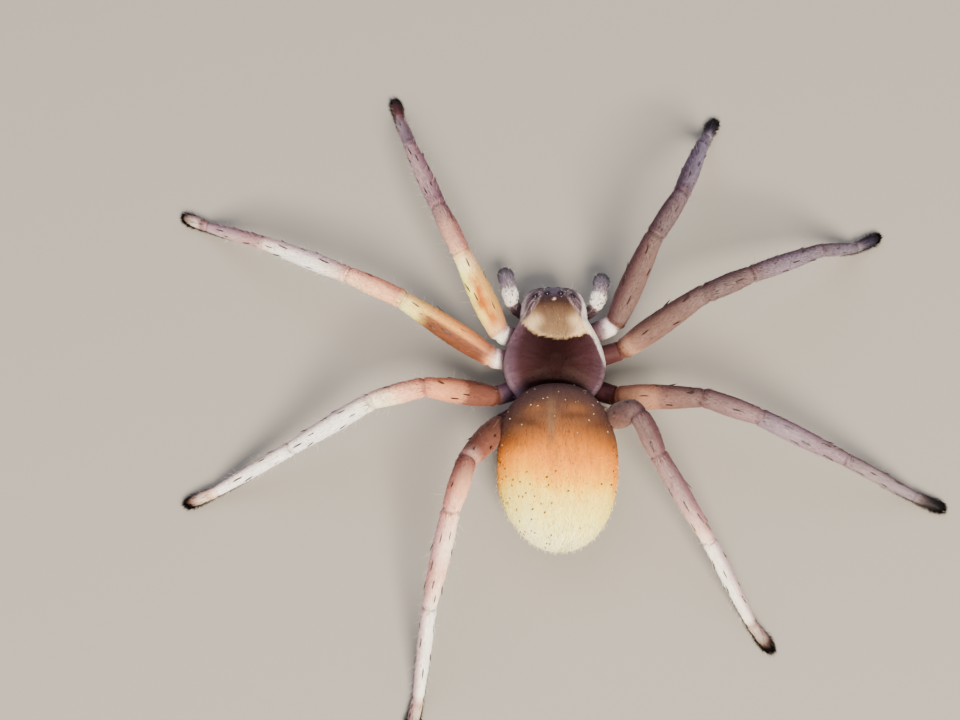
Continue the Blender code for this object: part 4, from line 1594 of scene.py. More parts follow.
@dataclass
class Skin:
    """The one skin, joined from all forms, and what is known at each of its points."""

    forms: list[Form]

    def build(self) -> Object:
        """Joins all forms by one union, smooths the seams and paints the result.

        Returns:
            The new object.
        """
        built = []
        for k, form in enumerate(self.forms):
            piece = form.build()
            layer = piece.data.attributes.new("form", "INT", "FACE")
            layer.data.foreach_set("value", [k] * len(piece.data.polygons))
            built.append(piece)
        skin = built[0]
        group = bpy.data.collections.new("forms")
        bpy.context.scene.collection.children.link(group)
        for piece in built[1:]:
            for holder in list(piece.users_collection):
                holder.objects.unlink(piece)
            group.objects.link(piece)
        deselect()
        skin.select_set(True)
        bpy.context.view_layer.objects.active = skin
        union = skin.modifiers.new("union", "BOOLEAN")
        union.operation = "UNION"
        union.operand_type = "COLLECTION"
        union.collection = group
        union.solver = "MANIFOLD"
        bpy.ops.object.modifier_apply(modifier=union.name)
        for piece in built[1:]:
            bpy.data.objects.remove(piece)
        bpy.data.collections.remove(group)
        bpy.ops.object.mode_set(mode="EDIT")
        bpy.ops.mesh.select_all(action="SELECT")
        bpy.ops.mesh.remove_doubles(threshold=WELD)
        bpy.ops.mesh.normals_make_consistent(inside=False)
        bpy.ops.object.mode_set(mode="OBJECT")
        bpy.ops.object.shade_smooth_by_angle(angle=SMOOTH_BELOW)
        skin.name = "skin"
        self.survey(skin.data)
        return skin

    def survey(self, mesh: Mesh) -> None:
        """Finds form, normal, colour and pattern place for each point and paints them.

        Args:
            mesh: The mesh.
        """
        self.points = read_points(mesh) / MM - BODY_PLACE
        normals = np.empty(len(mesh.vertices) * 3)
        mesh.vertex_normals.foreach_get("vector", normals)
        self.normals = normals.reshape(-1, 3)
        self.owner = np.zeros(len(mesh.vertices), int)
        layer = mesh.attributes["form"]
        for face in mesh.polygons:
            self.owner[list(face.vertices)] = layer.data[face.index].value
        self.tints = np.zeros_like(self.points)
        grain = np.zeros_like(self.points)
        for k, form in enumerate(self.forms):
            mine = self.owner == k
            self.tints[mine] = form.tint(self.points[mine], self.normals[mine])
            grain[mine] = form.grain(self.points[mine])
        paint(mesh, "Tint", "FLOAT_COLOR", self.tints)
        paint(mesh, "Grain", "FLOAT_VECTOR", grain)


# Coat


# a tip stays this far over the floor, and reaches at most this far over the solids' box, in metres
FLOOR_GAP = 0.00002
TOP_SLACK = 0.0002
# half the size of a hair's spot on the unwrapped skin
SPOT = 0.0015


def spike_faces(sides: int, rings: int) -> tuple[Array, Array]:
    """Lists the faces of one closed spike: its base, its rings of squares and its tip.

    Args:
        sides: Faces round the spike.
        rings: Rings below its tip.

    Returns:
        The point numbers at all corners, face by face, and how many corners each face has.
    """
    corners = list(range(sides))[::-1]
    counts = [sides]
    for k in range(rings - 1):
        for n in range(sides):
            m = (n + 1) % sides
            corners += [k * sides + n, k * sides + m, (k + 1) * sides + m, (k + 1) * sides + n]
            counts.append(4)
    last = (rings - 1) * sides
    for n in range(sides):
        corners += [last + n, last + (n + 1) % sides, rings * sides]
        counts.append(3)
    return np.array(corners), np.array(counts)


@dataclass
class Growth:
    """Hairs or spines to be made, with one row for each."""

    roots: Array
    outs: Array
    lies: Array
    lengths: Array
    widths: Array
    rises: Array
    droops: Array
    colours: Array
    tips: Array
    patches: Array

    def model(self, name: str, sides: int = 3, rings: int = 2, belly: float = 0.35, sink: float = 0.04,
              flat: float = 0.6) -> Object:
        """Makes all hairs as closed tapering spikes in one mesh.

        Args:
            name: The object's name.
            sides: Faces round each hair.
            rings: Rings below each tip.
            belly: Where a hair is widest, as a share of its length; 0 is at the root.
            sink: How deep roots go under the skin, in millimetres.
            flat: Thickness as a share of width.

        Returns:
            The mesh object, with its Tint and its OFBake map.
        """
        count = len(self.roots)
        outs = unit(self.outs)
        lies = unit(self.lies - outs * np.sum(self.lies * outs, axis=1, keepdims=True))
        across = np.cross(lies, outs)
        angle = np.arange(sides) / sides * 2 * math.pi + math.pi / 2
        centre = self.roots - outs * sink
        places, tints, patches = [], [], []
        for k in range(rings + 1):
            share = k / rings
            climb = np.radians(self.rises - self.droops * share)
            ahead = lies * np.cos(climb)[:, None] + outs * np.sin(climb)[:, None]
            if k:
                step = self.lengths / rings + (sink if k == 1 else 0.0)
                centre = centre + (before + ahead) * 0.5 * step[:, None]
            before = ahead
            colour = blend(self.colours, self.tips, np.full(count, share))
            if k == rings:
                places.append(centre[:, None, :])
                tints.append(colour[:, None, :])
                patches.append((self.patches + (SPOT, 0.0))[:, None, :])
                break
            full = 1.0 - max(share - belly, 0.0) ** 1.5 / (1.0 - belly) ** 1.5
            full = full * (0.75 + 0.25 * min(share / belly, 1.0)) if belly else 1.0 - share * 0.7
            above = np.cross(across, ahead)
            round_ring = (across[:, None, :] * np.cos(angle)[None, :, None]
                          + above[:, None, :] * np.sin(angle)[None, :, None] * flat)
            places.append(centre[:, None, :] + round_ring * (self.widths * full)[:, None, None])
            tints.append(np.repeat(colour[:, None, :], sides, axis=1))
            spread = np.stack((np.full(sides, share * 2 * SPOT - SPOT), np.cos(angle) * SPOT), axis=1)
            patches.append(self.patches[:, None, :] + spread[None, :, :])
        points = np.concatenate(places, axis=1).reshape(-1, 3)
        tints = np.concatenate(tints, axis=1).reshape(-1, 3)
        patches = np.concatenate(patches, axis=1).reshape(-1, 2)
        pattern, counts = spike_faces(sides, rings)
        each = sides * rings + 1
        corners = (pattern[None, :] + (np.arange(count) * each)[:, None]).ravel()
        starts = np.concatenate(([0], np.cumsum(np.tile(counts, count))))[:-1]
        mesh = bpy.data.meshes.new(name)
        mesh.vertices.add(len(points))
        mesh.loops.add(len(corners))
        mesh.polygons.add(len(starts))
        mesh.vertices.foreach_set("co", ((points + BODY_PLACE) * MM).ravel())
        mesh.loops.foreach_set("vertex_index", corners)
        mesh.polygons.foreach_set("loop_start", starts)
        mesh.polygons.foreach_set("use_smooth", np.ones(len(starts), bool))
        mesh.update(calc_edges=True)
        paint(mesh, "Tint", "FLOAT_COLOR", tints)
        chart = mesh.uv_layers.new(name="OFBake")
        chart.data.foreach_set("uv", patches[corners].ravel())
        hairs = bpy.data.objects.new(name, mesh)
        bpy.context.scene.collection.objects.link(hairs)
        return hairs

    def inside(self) -> "Growth":
        """Returns only the hairs whose tips stay above the floor and in the solids' box.

        Returns:
            The hairs that stay.
        """
        climb = np.radians(self.rises - self.droops * 0.5)[:, None]
        tips = self.roots + (self.lies * np.cos(climb) + self.outs * np.sin(climb)) * self.lengths[:, None]
        tips = (tips + BODY_PLACE) * MM
        low = np.array(CAD_BOX[0]) + (0.0, 0.0, FLOOR_GAP)
        high = np.array(CAD_BOX[1]) + (0.0, 0.0, TOP_SLACK)
        kept = np.all((tips > low) & (tips < high), axis=1)
        return Growth(**{name: getattr(self, name)[kept] for name in Growth.__dataclass_fields__})


def joined(batches: Sequence[Growth]) -> Growth:
    """Returns several batches of hairs as one."""
    names = Growth.__dataclass_fields__
    return Growth(**{name: np.concatenate([getattr(batch, name) for batch in batches]) for name in names})


@dataclass
class Sower:
    """Draws even random places on the skin's triangles."""

    skin: Skin
    mesh: Mesh
    seed: int = 7

    def __post_init__(self) -> None:
        """Reads the skin's triangles with their areas and owners."""
        self.rng = np.random.default_rng(self.seed)
        self.mesh.calc_loop_triangles()
        count = len(self.mesh.loop_triangles)
        corners = np.empty(count * 3, int)
        faces = np.empty(count, int)
        self.mesh.loop_triangles.foreach_get("vertices", corners)
        self.mesh.loop_triangles.foreach_get("polygon_index", faces)
        self.corners = corners.reshape(-1, 3)
        numbers = np.empty(len(self.mesh.polygons), int)
        self.mesh.attributes["form"].data.foreach_get("value", numbers)
        self.owner = numbers[faces]
        a, b, c = (self.skin.points[self.corners[:, k]] for k in range(3))
        self.area = 0.5 * np.linalg.norm(np.cross(b - a, c - a), axis=1)
        self.centre = (a + b + c) / 3

    def sow(self, form: int, per_mm: float, density: Callable | None = None) -> tuple[Array, Array]:
        """Draws places on one form.

        Args:
            form: The form's number.
            per_mm: Hairs for each square millimetre where the density is 1.
            density: Gives the density for places and normals.

        Returns:
            Places in millimetres and normals.
        """
        mine = np.flatnonzero(self.owner == form)
        weight = self.area[mine]
        if density is not None:
            normals = unit(self.skin.normals[self.corners[mine]].mean(axis=1))
            weight = weight * np.clip(density(self.centre[mine], normals), 0.0, None)
        total = np.cumsum(weight)
        count = int(total[-1] * per_mm)
        draws = (np.arange(count) + self.rng.random(count)) / count * total[-1]
        chosen = mine[np.minimum(np.searchsorted(total, draws), len(mine) - 1)]
        u = np.sqrt(self.rng.random(count))
        v = self.rng.random(count)
        shares = np.stack((1 - u, u * (1 - v), u * v), axis=1)
        corners = self.corners[chosen]
        places = np.einsum("nk,nkj->nj", shares, self.skin.points[corners])
        normals = np.einsum("nk,nkj->nj", shares, self.skin.normals[corners])
        return places, unit(normals)


@dataclass(frozen=True)
class Lock:
    """One kind of hair: hairs for a square millimetre, sizes in millimetres, angles in degrees.

    A kind without a colour takes the skin's own.
    """

    per_mm: float
    length: float
    width: float
    rise: float
    droop: float
    stray: float = 14.0
    uneven: float = 0.25
    tip: float = 1.15
    shade: float = 0.1
    colour: str | None = None


@dataclass
class Furrier:
    """Lays hairs of a kind on a form."""

    sower: Sower

    def lay(self, form: Form, places: Array, normals: Array, lock: Lock,
            colours: Array | None = None, scale: Array | float = 1.0) -> Growth:
        """Turns places into hairs that follow the form's lie.

        Args:
            form: The form that they grow on.
            places: Their roots in millimetres.
            normals: The skin's normals there.
            lock: The kind of hair.
            colours: Their colours, or none for the kind's own.
            scale: A factor on each length.

        Returns:
            The hairs.
        """
        rng = self.sower.rng
        count = len(places)
        lies = form.lie(places)
        lies = unit(lies - normals * np.sum(lies * normals, axis=1, keepdims=True))
        stray = np.radians(rng.normal(0.0, lock.stray, count))[:, None]
        lies = lies * np.cos(stray) + np.cross(normals, lies) * np.sin(stray)
        if colours is None:
            colours = plain(lock.colour, count) if lock.colour else form.tint(places, normals)
        shade = np.clip(rng.normal(1.0, lock.shade, count), 0.6, 1.5)[:, None]
        colours = np.clip(colours * shade, 0.0, 0.95)
        lengths = lock.length * scale * np.clip(rng.normal(1.0, lock.uneven, count), 0.4, 1.7)
        grown = Growth(
            roots=places,
            outs=normals,
            lies=lies,
            lengths=lengths,
            widths=lock.width * np.clip(rng.normal(1.0, 0.15, count), 0.6, 1.4),
            rises=lock.rise * np.clip(rng.normal(1.0, 0.2, count), 0.4, 1.7),
            droops=lock.droop * np.clip(rng.normal(1.0, 0.2, count), 0.4, 1.7),
            colours=colours,
            tips=np.clip(colours * lock.tip + 0.003, 0.0, 0.97),
            patches=form.unwrap(places),
        )
        return grown.inside()


LEG_DOWN = Lock(36.0, length=0.54, width=0.032, rise=11.0, droop=10.0, stray=6.0, tip=1.05, shade=0.06)
FOOT_STREAK = replace(LEG_DOWN, per_mm=3.6, colour="3c302e")
LEG_BRISTLE = Lock(0.7, length=1.25, width=0.013, rise=58.0, droop=22.0, stray=30.0, tip=1.0, colour="f3ece4")
BRUSH = Lock(90.0, length=0.6, width=0.034, rise=52.0, droop=14.0, stray=22.0, colour="151315")
BRUSH_ROOT = "6e6468"
TOE_TUFT = Lock(70.0, length=0.85, width=0.034, rise=24.0, droop=10.0, stray=22.0, colour="131114")
FRONT_FRINGE = Lock(1.2, length=0.75, width=0.016, rise=34.0, droop=18.0, stray=20.0, tip=1.1)
REAR_FRINGE = replace(FRONT_FRINGE, per_mm=2.6)
BELLY_DOWN = Lock(22.0, length=0.5, width=0.036, rise=13.0, droop=12.0, stray=9.0, tip=1.05, shade=0.06)
BELLY_BRISTLE = Lock(2.2, length=0.62, width=0.034, rise=46.0, droop=20.0, stray=24.0, colour="fff3da")
PALP_DOT = Lock(3.2, length=0.24, width=0.075, rise=9.0, droop=9.0, stray=30.0, uneven=0.3, tip=1.0,
                shade=0.25, colour="1e181b")
BROWN_DOT = replace(PALP_DOT, per_mm=0.5, colour="9c7648")
WHITE_DOT = replace(PALP_DOT, per_mm=0.2, colour="ead9c0")
HEAD_DOWN = Lock(42.0, length=0.3, width=0.026, rise=13.0, droop=11.0, stray=14.0, tip=1.3, shade=0.34)
CHEST_DOWN = Lock(42.0, length=0.32, width=0.026, rise=11.0, droop=10.0, stray=8.0, tip=1.04, shade=0.08)
JAW_DOWN = replace(CHEST_DOWN, per_mm=26.0)
BREAST_DOWN = Lock(9.0, length=0.42, width=0.032, rise=20.0, droop=16.0)
PALP_DOWN = Lock(52.0, length=0.46, width=0.03, rise=24.0, droop=16.0, shade=0.2)
BEARD = Lock(1.1, length=1.15, width=0.012, rise=62.0, droop=26.0, stray=50.0, tip=1.1, colour="d9cfcc")
JAW_BRISTLE = replace(BEARD, per_mm=1.2, colour="8a7a74")
PALP_BRISTLE = replace(BEARD, per_mm=1.0, colour="f3ece4")


@dataclass
class Coat:
    """The whole coat: down, bristles and brushes on every form."""

    furrier: Furrier
    forms: list[Form]

    def grow(self, number: int, lock: Lock, where: Callable | None = None, scale: float = 1.0) -> Growth:
        """Sows and lays one kind of hair on one form.

        Args:
            number: The form's number.
            lock: The kind of hair.
            where: Gives the density for places and normals, or none if it is even.
            scale: A factor on each length.

        Returns:
            The hairs.
        """
        places, normals = self.furrier.sower.sow(number, lock.per_mm, where)
        return self.furrier.lay(self.forms[number], places, normals, lock, scale=scale)

    def legs(self) -> list[Object]:
        """Makes the coat of each leg in one piece."""
        return [self.leg(k, form) for k, form in enumerate(self.forms) if isinstance(form, Leg)]

    def leg(self, number: int, form: Leg) -> Object:
        """Makes a leg's down, its foot brush and its long fine bristles.

        Args:
            number: The form's number.
            form: The leg.

        Returns:
            The leg's coat.
        """
        sower = self.furrier.sower

        def down(places: Array, normals: Array) -> Array:
            """Thinner at the joints, and none inside the body.

            Args:
                places: Places in millimetres.
                normals: Not used.

            Returns:
                The density.
            """
            along = form.lengths(places)
            bare = np.ones(len(along))
            for joint in form.joints[2:6]:
                bare = bare - 0.75 * np.exp(-((along - joint) / 0.16) ** 2)
            return bare * ease(form.joints[0] + 0.4, form.joints[0] + 1.6, along)

        def under(places: Array, normals: Array) -> Array:
            """The brush: under the outer half of the metatarsus, and up the sides of the tarsus.

            Args:
                places: Places in millimetres.
                normals: The skin's normals there.

            Returns:
                The density.
            """
            piece = form.piece(form.lengths(places))
            height = -0.05 + 0.55 * ease(5.35, 5.85, piece)
            return ease(4.45, 4.9, piece) * ease(height, height - 0.5, normals[:, 2])

        def toe(places: Array, normals: Array) -> Array:
            """The tuft round the claws."""
            return ease(5.7, 5.9, form.piece(form.lengths(places))) * ease(0.85, 0.5, normals[:, 2])

        def streaked(places: Array, normals: Array) -> Array:
            """Dark streaks along the top of the tarsus."""
            piece = form.piece(form.lengths(places))
            return ease(5.02, 5.2, piece) * ease(5.95, 5.7, piece) * ease(-0.1, 0.3, normals[:, 2])

        def fringed(places: Array, normals: Array) -> Array:
            """A soft fringe on the sides and under the outer pieces."""
            piece = form.piece(form.lengths(places))
            return ease(2.9, 3.3, piece) * ease(5.2, 4.9, piece) * ease(0.5, 0.1, normals[:, 2])

        def bristly(places: Array, normals: Array) -> Array:
            """More long hairs on the sides of the outer pieces."""
            piece = form.piece(form.lengths(places))
            return (0.35 + 0.65 * ease(1.0, 3.5, piece)) * ease(1.0, 1.3, piece) * ease(5.95, 5.6, piece)

        places, normals = sower.sow(number, LEG_DOWN.per_mm, down)
        scale = np.interp(form.piece(form.lengths(places)), (0.0, 0.9, 1.1, 3.0, 4.6, 5.2, 5.9, 6.0),
                          (0.7, 0.6, 0.85, 1.0, 1.05, 0.8, 0.6, 0.35))
        batches = [self.furrier.lay(form, places, normals, LEG_DOWN, scale=scale)]
        places, normals = sower.sow(number, BRUSH.per_mm, under)
        piece = form.piece(form.lengths(places))
        colours = tone(plain(BRUSH_ROOT, len(places)), BRUSH.colour, ease(4.5, 5.6, piece))
        scale = np.interp(piece, (4.4, 5.0, 5.7, 6.0), (0.5, 0.65, 0.95, 0.8))
        batches.append(self.furrier.lay(form, places, normals, BRUSH, colours, scale))
        batches.append(self.grow(number, TOE_TUFT, toe))
        places, normals = sower.sow(number, FOOT_STREAK.per_mm, streaked)
        batches.append(self.furrier.lay(form, places + normals * 0.04, normals, FOOT_STREAK, scale=1.15))
        batches.append(self.grow(number, REAR_FRINGE if form.pair > 2 else FRONT_FRINGE, fringed))
        places, normals = sower.sow(number, LEG_BRISTLE.per_mm, bristly)
        shaded = np.full(len(places), 0.35 if form.side is Side.LEFT else 0.8)
        colours = blend(plain(LEG_BRISTLE.colour, len(places)), form.tint(places, normals), shaded)
        batches.append(self.furrier.lay(form, places, normals, LEG_BRISTLE, colours))
        return joined(batches).model(f"coat_{form.name}")

    def abdomen(self) -> Object:
        """Makes the velvet of the abdomen, with longer bristles behind.

        Returns:
            The abdomen's coat.
        """
        sower = self.furrier.sower
        form = self.forms[Region.ABDOMEN.value]

        def bristly(places: Array, normals: Array) -> Array:
            """More long hairs towards the rear and below, in small clumps.

            Args:
                places: Places in millimetres.
                normals: The skin's normals there.

            Returns:
                The density.
            """
            x, y, z = places.T
            clumps = ease(-0.2, 0.8, np.sin(x * 7.0 + 1.3 * np.sin(y * 3.1)) * np.sin(y * 6.3 + z * 5.0))
            many = 1.4 * ease(-12.0, -22.0, y) + 0.4 * ease(0.3, -0.5, normals[:, 2])
            return 0.03 + many * (0.3 + 1.4 * clumps)

        places, normals = sower.sow(form.region, BELLY_DOWN.per_mm)
        scale = np.interp(-places[:, 1], (5.0, 14.0, 24.0), (0.75, 0.9, 1.15))
        batches = [self.furrier.lay(form, places, normals, BELLY_DOWN, scale=scale)]
        places, normals = sower.sow(form.region, BELLY_BRISTLE.per_mm, bristly)
        colours = tone(form.tint(places, normals), BELLY_BRISTLE.colour, np.full(len(places), 0.45))
        batches.append(self.furrier.lay(form, places, normals, BELLY_BRISTLE, colours))
        batches.append(self.dots(form))
        return joined(batches).model("coat_abdomen")

    def dots(self, form: Abdomen) -> Growth:
        """Makes the abdomen's small brown and white dots, each one broad short hair or two.

        Args:
            form: The abdomen.

        Returns:
            The dots as hairs.
        """
        sower = self.furrier.sower

        def brown(places: Array, normals: Array) -> Array:
            """Most on the left of the cream part and on both flanks.

            Args:
                places: Places in millimetres.
                normals: The skin's normals there.

            Returns:
                The density.
            """
            x, y = places[:, 0], places[:, 1]
            left = ease(1.0, -3.0, x) * ease(-13.5, -17.0, y)
            flank = ease(5.2, 6.4, np.abs(x - 0.1)) * ease(-10.5, -13.0, y)
            return (0.1 * ease(-11.0, -13.0, y) + left + 0.6 * flank) * ease(-0.4, 0.1, normals[:, 2])

        def white(places: Array, normals: Array) -> Array:
            """Scattered over the dark front."""
            y = places[:, 1]
            return ease(-5.0, -7.0, y) * ease(-15.0, -11.0, y) * ease(0.1, 0.4, normals[:, 2])

        batches = []
        for kind, density, size, broad in ((BROWN_DOT, brown, 0.85, 1.5), (WHITE_DOT, white, 0.5, 0.75)):
            centres, outs = sower.sow(form.region, kind.per_mm, density)
            places = np.repeat(centres, 2, axis=0)
            normals = np.repeat(outs, 2, axis=0)
            scatter = sower.rng.normal(0.0, 0.025, (len(places), 3))
            level = places + scatter - normals * np.sum(scatter * normals, axis=1, keepdims=True)
            grown = self.furrier.lay(form, level + normals * 0.07, normals, kind, scale=size)
            grown.widths = grown.widths * broad
            batches.append(grown)
        return joined(batches)

    def body(self) -> Object:
        """Makes the short down of carapace, breast, jaws and feelers.

        Returns:
            The body's coat.
        """
        sower = self.furrier.sower
        batches = []

        def clear_of_eyes(places: Array, normals: Array) -> Array:
            """None where an eye stands.

            Args:
                places: Places in millimetres.
                normals: Not used.

            Returns:
                The density.
            """
            keep = np.ones(len(places))
            for _, centre, size in eight_eyes():
                gap = np.linalg.norm(places - (centre + (0.0, 0.1, 0.0)), axis=1)
                keep = keep * ease(size + 0.06, size + 0.24, gap)
            return keep

        def bearded(places: Array, normals: Array) -> Array:
            """Long bristles round the eyes, on the brow and a few on the cheeks."""
            brow = ease(5.4, 7.0, places[:, 1]) * ease(-0.3, 0.2, normals[:, 2])
            return brow * clear_of_eyes(places, normals)

        def white_piece(places: Array, normals: Array) -> Array:
            """On the upper side of a feeler's white piece."""
            share, _ = palp.chart(places)
            return ease(0.37, 0.39, share) * ease(0.53, 0.51, share) * ease(0.0, 0.3, normals[:, 2])

        shield = self.forms[Region.CARAPACE.value]
        places, normals = sower.sow(shield.region, CHEST_DOWN.per_mm, clear_of_eyes)
        colours = shield.tint(places, normals)
        head = places[:, 1] > 0.7
        colours[head] = colours[head] * sower.rng.choice((0.6, 0.85, 1.0, 1.3), (np.sum(head), 1))
        # painted glints: a few hairs of the head made much brighter
        painted_glints = sower.rng.random(len(places)) < 0.06 * ease(6.6, 5.0, places[:, 1])
        colours[head & painted_glints] = np.clip(colours[head & painted_glints] * 1.5 + 0.03, 0.0, 0.9)
        scale = np.interp(places[:, 1], (-6.0, 0.0, 1.0, 6.0, 8.5), (1.1, 1.0, 1.0, 0.9, 0.65))
        for part, lock in ((head, HEAD_DOWN), (~head, CHEST_DOWN)):
            grown = self.furrier.lay(shield, places[part], normals[part], lock, colours[part], scale[part])
            batches.append(grown)
        batches.append(self.grow(shield.region, BEARD, bearded))
        batches.append(self.grow(Region.BREAST.value, BREAST_DOWN))
        for number in (Region.JAW.value, Region.JAW.value + 1):
            batches.append(self.grow(number, JAW_DOWN))
            batches.append(self.grow(number, JAW_BRISTLE, scale=0.7))
        for number in (Region.PALP.value, Region.PALP.value + 1):
            palp = self.forms[number]
            batches.append(self.grow(number, PALP_DOWN))
            batches.append(self.grow(number, PALP_BRISTLE, scale=0.7))
            places, normals = sower.sow(number, PALP_DOT.per_mm, white_piece)
            places = np.repeat(places, 3, axis=0) + sower.rng.normal(0.0, 0.04, (len(places) * 3, 3))
            normals = np.repeat(normals, 3, axis=0)
            batches.append(self.furrier.lay(palp, places + normals * 0.05, normals, PALP_DOT, scale=0.7))
        return joined(batches).model("coat_body")


# Spines, claws, eyes and fangs


SPINE_PLACES = (
    # piece, share of the piece, turn from the top
    (1, 0.3, 20), (1, 0.6, 62), (1, 0.6, -62), (1, 0.84, 0), (1, 0.45, -35),
    (3, 0.22, 8), (3, 0.34, 78), (3, 0.34, -78), (3, 0.66, -6), (3, 0.74, 78), (3, 0.74, -78),
    (3, 0.5, 150), (3, 0.5, -150), (3, 0.9, 150), (3, 0.9, -150),
    (3, 0.16, -38), (3, 0.48, 36), (3, 0.82, -34), (2, 0.5, 30),
    (4, 0.16, 78), (4, 0.16, -78), (4, 0.5, 70), (4, 0.5, -70), (4, 0.36, 150), (4, 0.36, -150),
    (4, 0.3, 24), (4, 0.64, -22),
)


@dataclass(frozen=True)
class SpineSizes:
    """The least and greatest sizes of a spine in millimetres and degrees, and its colour."""

    length: tuple[float, float] = (1.1, 1.6)
    width: tuple[float, float] = (0.11, 0.14)
    rise: tuple[float, float] = (9.0, 17.0)
    droop: tuple[float, float] = (4.0, 10.0)
    colour: str = "241614"


def leg_spines(forms: Sequence[Form]) -> Growth:
    """Returns the dark spines of all legs, lying nearly flat and pointing to the foot.

    Args:
        forms: All forms of the skin.

    Returns:
        The spines.
    """
    rng = np.random.default_rng(3)
    sizes = SpineSizes()
    batches = []
    for form in forms:
        if not isinstance(form, Leg):
            continue
        along = []
        turns = []
        for piece, share, turn in SPINE_PLACES:
            along.append(np.interp(piece + share + rng.uniform(-0.02, 0.02), np.arange(7.0), form.joints))
            turns.append(math.radians(turn + rng.uniform(-7, 7)))
        along = np.array(along)
        turns = np.array(turns)
        centre, ahead = form.at(along)
        across = unit(np.cross(ahead, (0.0, 0.0, 1.0)))
        up = np.cross(across, ahead)
        out = across * np.sin(turns)[:, None] + up * np.cos(turns)[:, None]
        count = len(along)
        dark = plain(sizes.colour, count)
        batches.append(Growth(
            roots=centre + out * form.radius(along)[:, None],
            outs=out,
            lies=ahead,
            lengths=rng.uniform(*sizes.length, count),
            widths=rng.uniform(*sizes.width, count),
            rises=rng.uniform(*sizes.rise, count),
            droops=rng.uniform(*sizes.droop, count),
            colours=dark,
            tips=dark * 0.5,
            patches=form.unwrap(centre + out),
        ))
    return joined(batches)


def leg_claws(forms: Sequence[Form]) -> Growth:
    """Returns the two hooked claws at the end of every leg.

    Args:
        forms: All forms of the skin.

    Returns:
        The claws.
    """
    batches = []
    for form in forms:
        if not isinstance(form, Leg):
            continue
        ahead = unit(form.ahead[-1] * (1.0, 1.0, 0.0))
        aside = np.cross(ahead, (0.0, 0.0, 1.0))
        middle = form.line[-1] - ahead * 0.35
        roots = np.stack([middle + aside * side.value * 0.26 + (0.0, 0.0, 0.12) for side in Side])
        black = plain("120d0e", 2)
        batches.append(Growth(
            roots=roots,
            outs=np.tile((0.0, 0.0, 1.0), (2, 1)),
            lies=np.stack([ahead + aside * side.value * 0.12 for side in Side]),
            lengths=np.full(2, 0.85),
            widths=np.full(2, 0.11),
            rises=np.full(2, 22.0),
            droops=np.full(2, 62.0),
            colours=black,
            tips=black,
            patches=form.unwrap(roots),
        ))
    return joined(batches)


# the fang's line from its jaw's tip, for the right side: outwards, forwards and upwards, with its radii
FANG_POINTS = ((0.0, -0.1, 0.1), (0.0, 0.5, -0.5), (-0.08, 0.3, -0.95), (-0.18, -0.35, -1.2),
               (-0.26, -1.05, -1.15), (-0.3, -1.65, -0.92))
FANG_RADII = (0.34, 0.34, 0.34, 0.27, 0.18, 0.05)


@dataclass
class Fang:
    """One curved black fang, folded back under its jaw."""

    side: Side

    def build(self) -> Object:
        """Models the fang as a smooth tube through its points.

        Returns:
            The new object.
        """
        sign = self.side.value
        tip = np.array((sign * JAW_TIP[0], *JAW_TIP[1:]))
        points = tip + np.array(FANG_POINTS) * (sign, 1.0, 1.0)
        steps = np.concatenate(([0.0], np.cumsum(np.linalg.norm(np.diff(points, axis=0), axis=1))))
        fine = np.linspace(0.0, steps[-1], 22)
        line = np.stack([smooth_table(steps, points[:, k], fine) for k in range(3)], axis=1)
        radii = smooth_table(steps, FANG_RADII, fine)
        fang = extrude_tube(f"fang_{self.side.word}_horn", (line + BODY_PLACE) * MM,
                            unit(np.gradient(line, axis=0)), radii * MM, 16)
        bpy.ops.object.shade_smooth_by_angle(angle=SMOOTH_BELOW)
        return fang


# an eye's ball is smaller than its node, and lies this far behind and below the node's centre
EYE_SHARE = 0.92
FRONT_EYE_SUNK = 0.1
REAR_EYE_SUNK = 0.03
EYE_DROP = 0.02


@dataclass
class Eye:
    """One of the eight small black eyes."""

    name: str
    place: Array
    size: float

    def build(self) -> Object:
        """Models the eye as a smooth ball.

        Returns:
            The new object.
        """
        deselect()
        centre = (self.place + BODY_PLACE) * MM
        bpy.ops.mesh.primitive_uv_sphere_add(segments=32, ring_count=20, radius=self.size * MM,
                                             location=centre)
        ball = bpy.context.object
        ball.name = self.name
        bpy.ops.object.shade_smooth()
        bpy.ops.object.transform_apply(location=True, rotation=True, scale=True)
        return ball


# Studio


@dataclass(frozen=True)
class Viewpoint:
    """The photograph's camera: lens and sensor in millimetres, place in metres, tilt in degrees."""

    lens: float = 55.35
    sensor: float = 36.0
    nearest: float = 0.01
    place: tuple[float, float, float] = (-0.00857, -0.06513, 0.17189)
    tilt: float = 22.0


def make_camera(view: Viewpoint) -> None:
    """Places the camera above and behind the spider, as in the photograph.

    Args:
        view: The camera's lens and place.
    """
    data = bpy.data.cameras.new("camera")
    data.lens = view.lens
    data.sensor_width = view.sensor
    data.clip_start = view.nearest
    camera = bpy.data.objects.new("camera", data)
    camera.location = view.place
    camera.rotation_euler = Euler((math.radians(view.tilt), 0.0, 0.0))
    bpy.context.scene.collection.objects.link(camera)
    bpy.context.scene.camera = camera


def make_lamp(name: str, place: tuple[float, float, float], size: float, power: float, colour: str) -> None:
    """Adds a soft square lamp that faces the spider.

    Args:
        name: The lamp's name.
        place: Where it hangs, in metres.
        size: The length of its edge.
        power: Its strength in watts.
        colour: Its hex colour.
    """
    data = bpy.data.lights.new(name, "AREA")
    data.size = size
    data.energy = power
    data.color = linear(colour)
    lamp = bpy.data.objects.new(name, data)
    lamp.location = place
    lamp.rotation_euler = (-Vector(place)).to_track_quat("-Z", "Y").to_euler()
    bpy.context.scene.collection.objects.link(lamp)


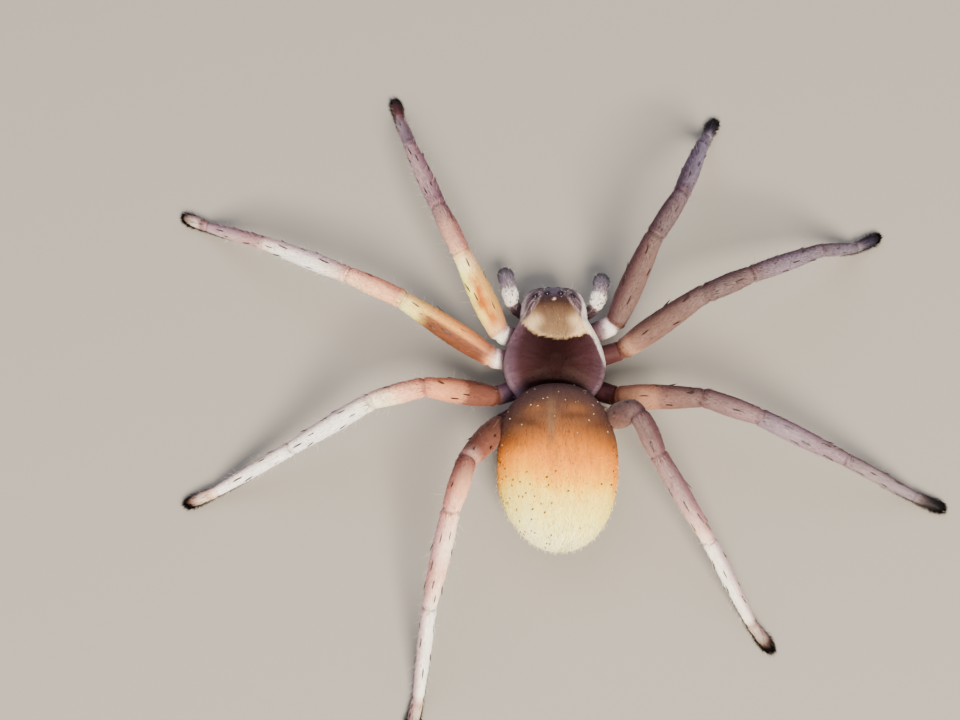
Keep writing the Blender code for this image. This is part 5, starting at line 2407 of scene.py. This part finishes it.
FLOOR_SIZE = 4.0
SKY_COLOUR = (0.93, 0.95, 1.0, 1.0)
SKY_STRENGTH = 0.42
LAMPS = (
    # name, place and edge in metres, strength in watts, colour
    ("key", (0.12, -0.52, 0.56), 0.3, 21.0, "fff0da"),
    ("fill", (-0.25, 0.35, 0.8), 0.7, 4.5, "eef2ff"),
)


def make_studio() -> None:
    """Lays the pale floor and sets plain soft light, stronger from low behind the spider."""
    deselect()
    bpy.ops.mesh.primitive_plane_add(size=FLOOR_SIZE, location=(0.0, 0.0, 0.0))
    floor = bpy.context.object
    floor.name = "floor"
    floor.data.materials.append(FloorFinish().make())
    world = bpy.data.worlds.new("studio")
    world.use_nodes = True
    sky = world.node_tree.nodes["Background"]
    sky.inputs["Color"].default_value = SKY_COLOUR
    sky.inputs["Strength"].default_value = SKY_STRENGTH
    bpy.context.scene.world = world
    for lamp in LAMPS:
        make_lamp(*lamp)


def triangles(piece: Object) -> int:
    """Returns how many triangles a piece has."""
    return len(piece.data.loops) - 2 * len(piece.data.polygons)


def main() -> None:
    """Builds the spider in order, reports each piece, and sets the studio round it."""
    logging.basicConfig(level=logging.INFO, format="%(message)s")
    make_camera(Viewpoint())
    forms = all_forms()
    skin = Skin(forms)
    hide = skin.build()
    hide.data.materials.clear()
    hide.data.materials.append(ShellFinish().make())
    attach(hide, "root")
    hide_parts(*[node for form in forms for node in form.nodes])
    LOG.info("skin: %d triangles", triangles(hide))
    sower = Sower(skin, hide.data)
    coat = Coat(Furrier(sower), forms)
    down = HairFinish("setae").make()
    for piece in (*coat.legs(), coat.abdomen(), coat.body()):
        piece.data.materials.append(down)
        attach(piece, "root")
        LOG.info("%s: %d triangles", piece.name, triangles(piece))
    spines = leg_spines(forms).model("spines", sides=6, rings=4, belly=0.0, sink=0.15, flat=1.0)
    claws = leg_claws(forms).model("claws", sides=8, rings=5, belly=0.0, sink=0.1, flat=1.0)
    for piece, name in ((spines, "spine_horn"), (claws, "claw_horn")):
        finish = HornFinish(name, colour="2c1d1a", roughness=0.35, mottle_mm=0.8)
        piece.data.materials.append(finish.make())
        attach(piece, "root")
    horn = HornFinish("fang_horn", colour="1c100e", roughness=0.18, mottle_mm=1.2).make()
    for side in Side:
        fang = Fang(side).build()
        fang.data.materials.append(horn)
        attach(fang, "root")
        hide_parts(f"fang_{side.name.lower()}")
    glass = HornFinish("eye_cuticle", colour="0a090c", roughness=0.08, mottle_mm=2.0).make()
    for full, centre, size in eight_eyes():
        sunk = FRONT_EYE_SUNK if "front" in full else REAR_EYE_SUNK
        ball = Eye(f"{full}_ball", centre - (0.0, sunk, EYE_DROP), size * EYE_SHARE).build()
        ball.data.materials.append(glass)
        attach(ball, "root")
        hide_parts(full)
    make_studio()


if __name__ == "__main__":
    main()
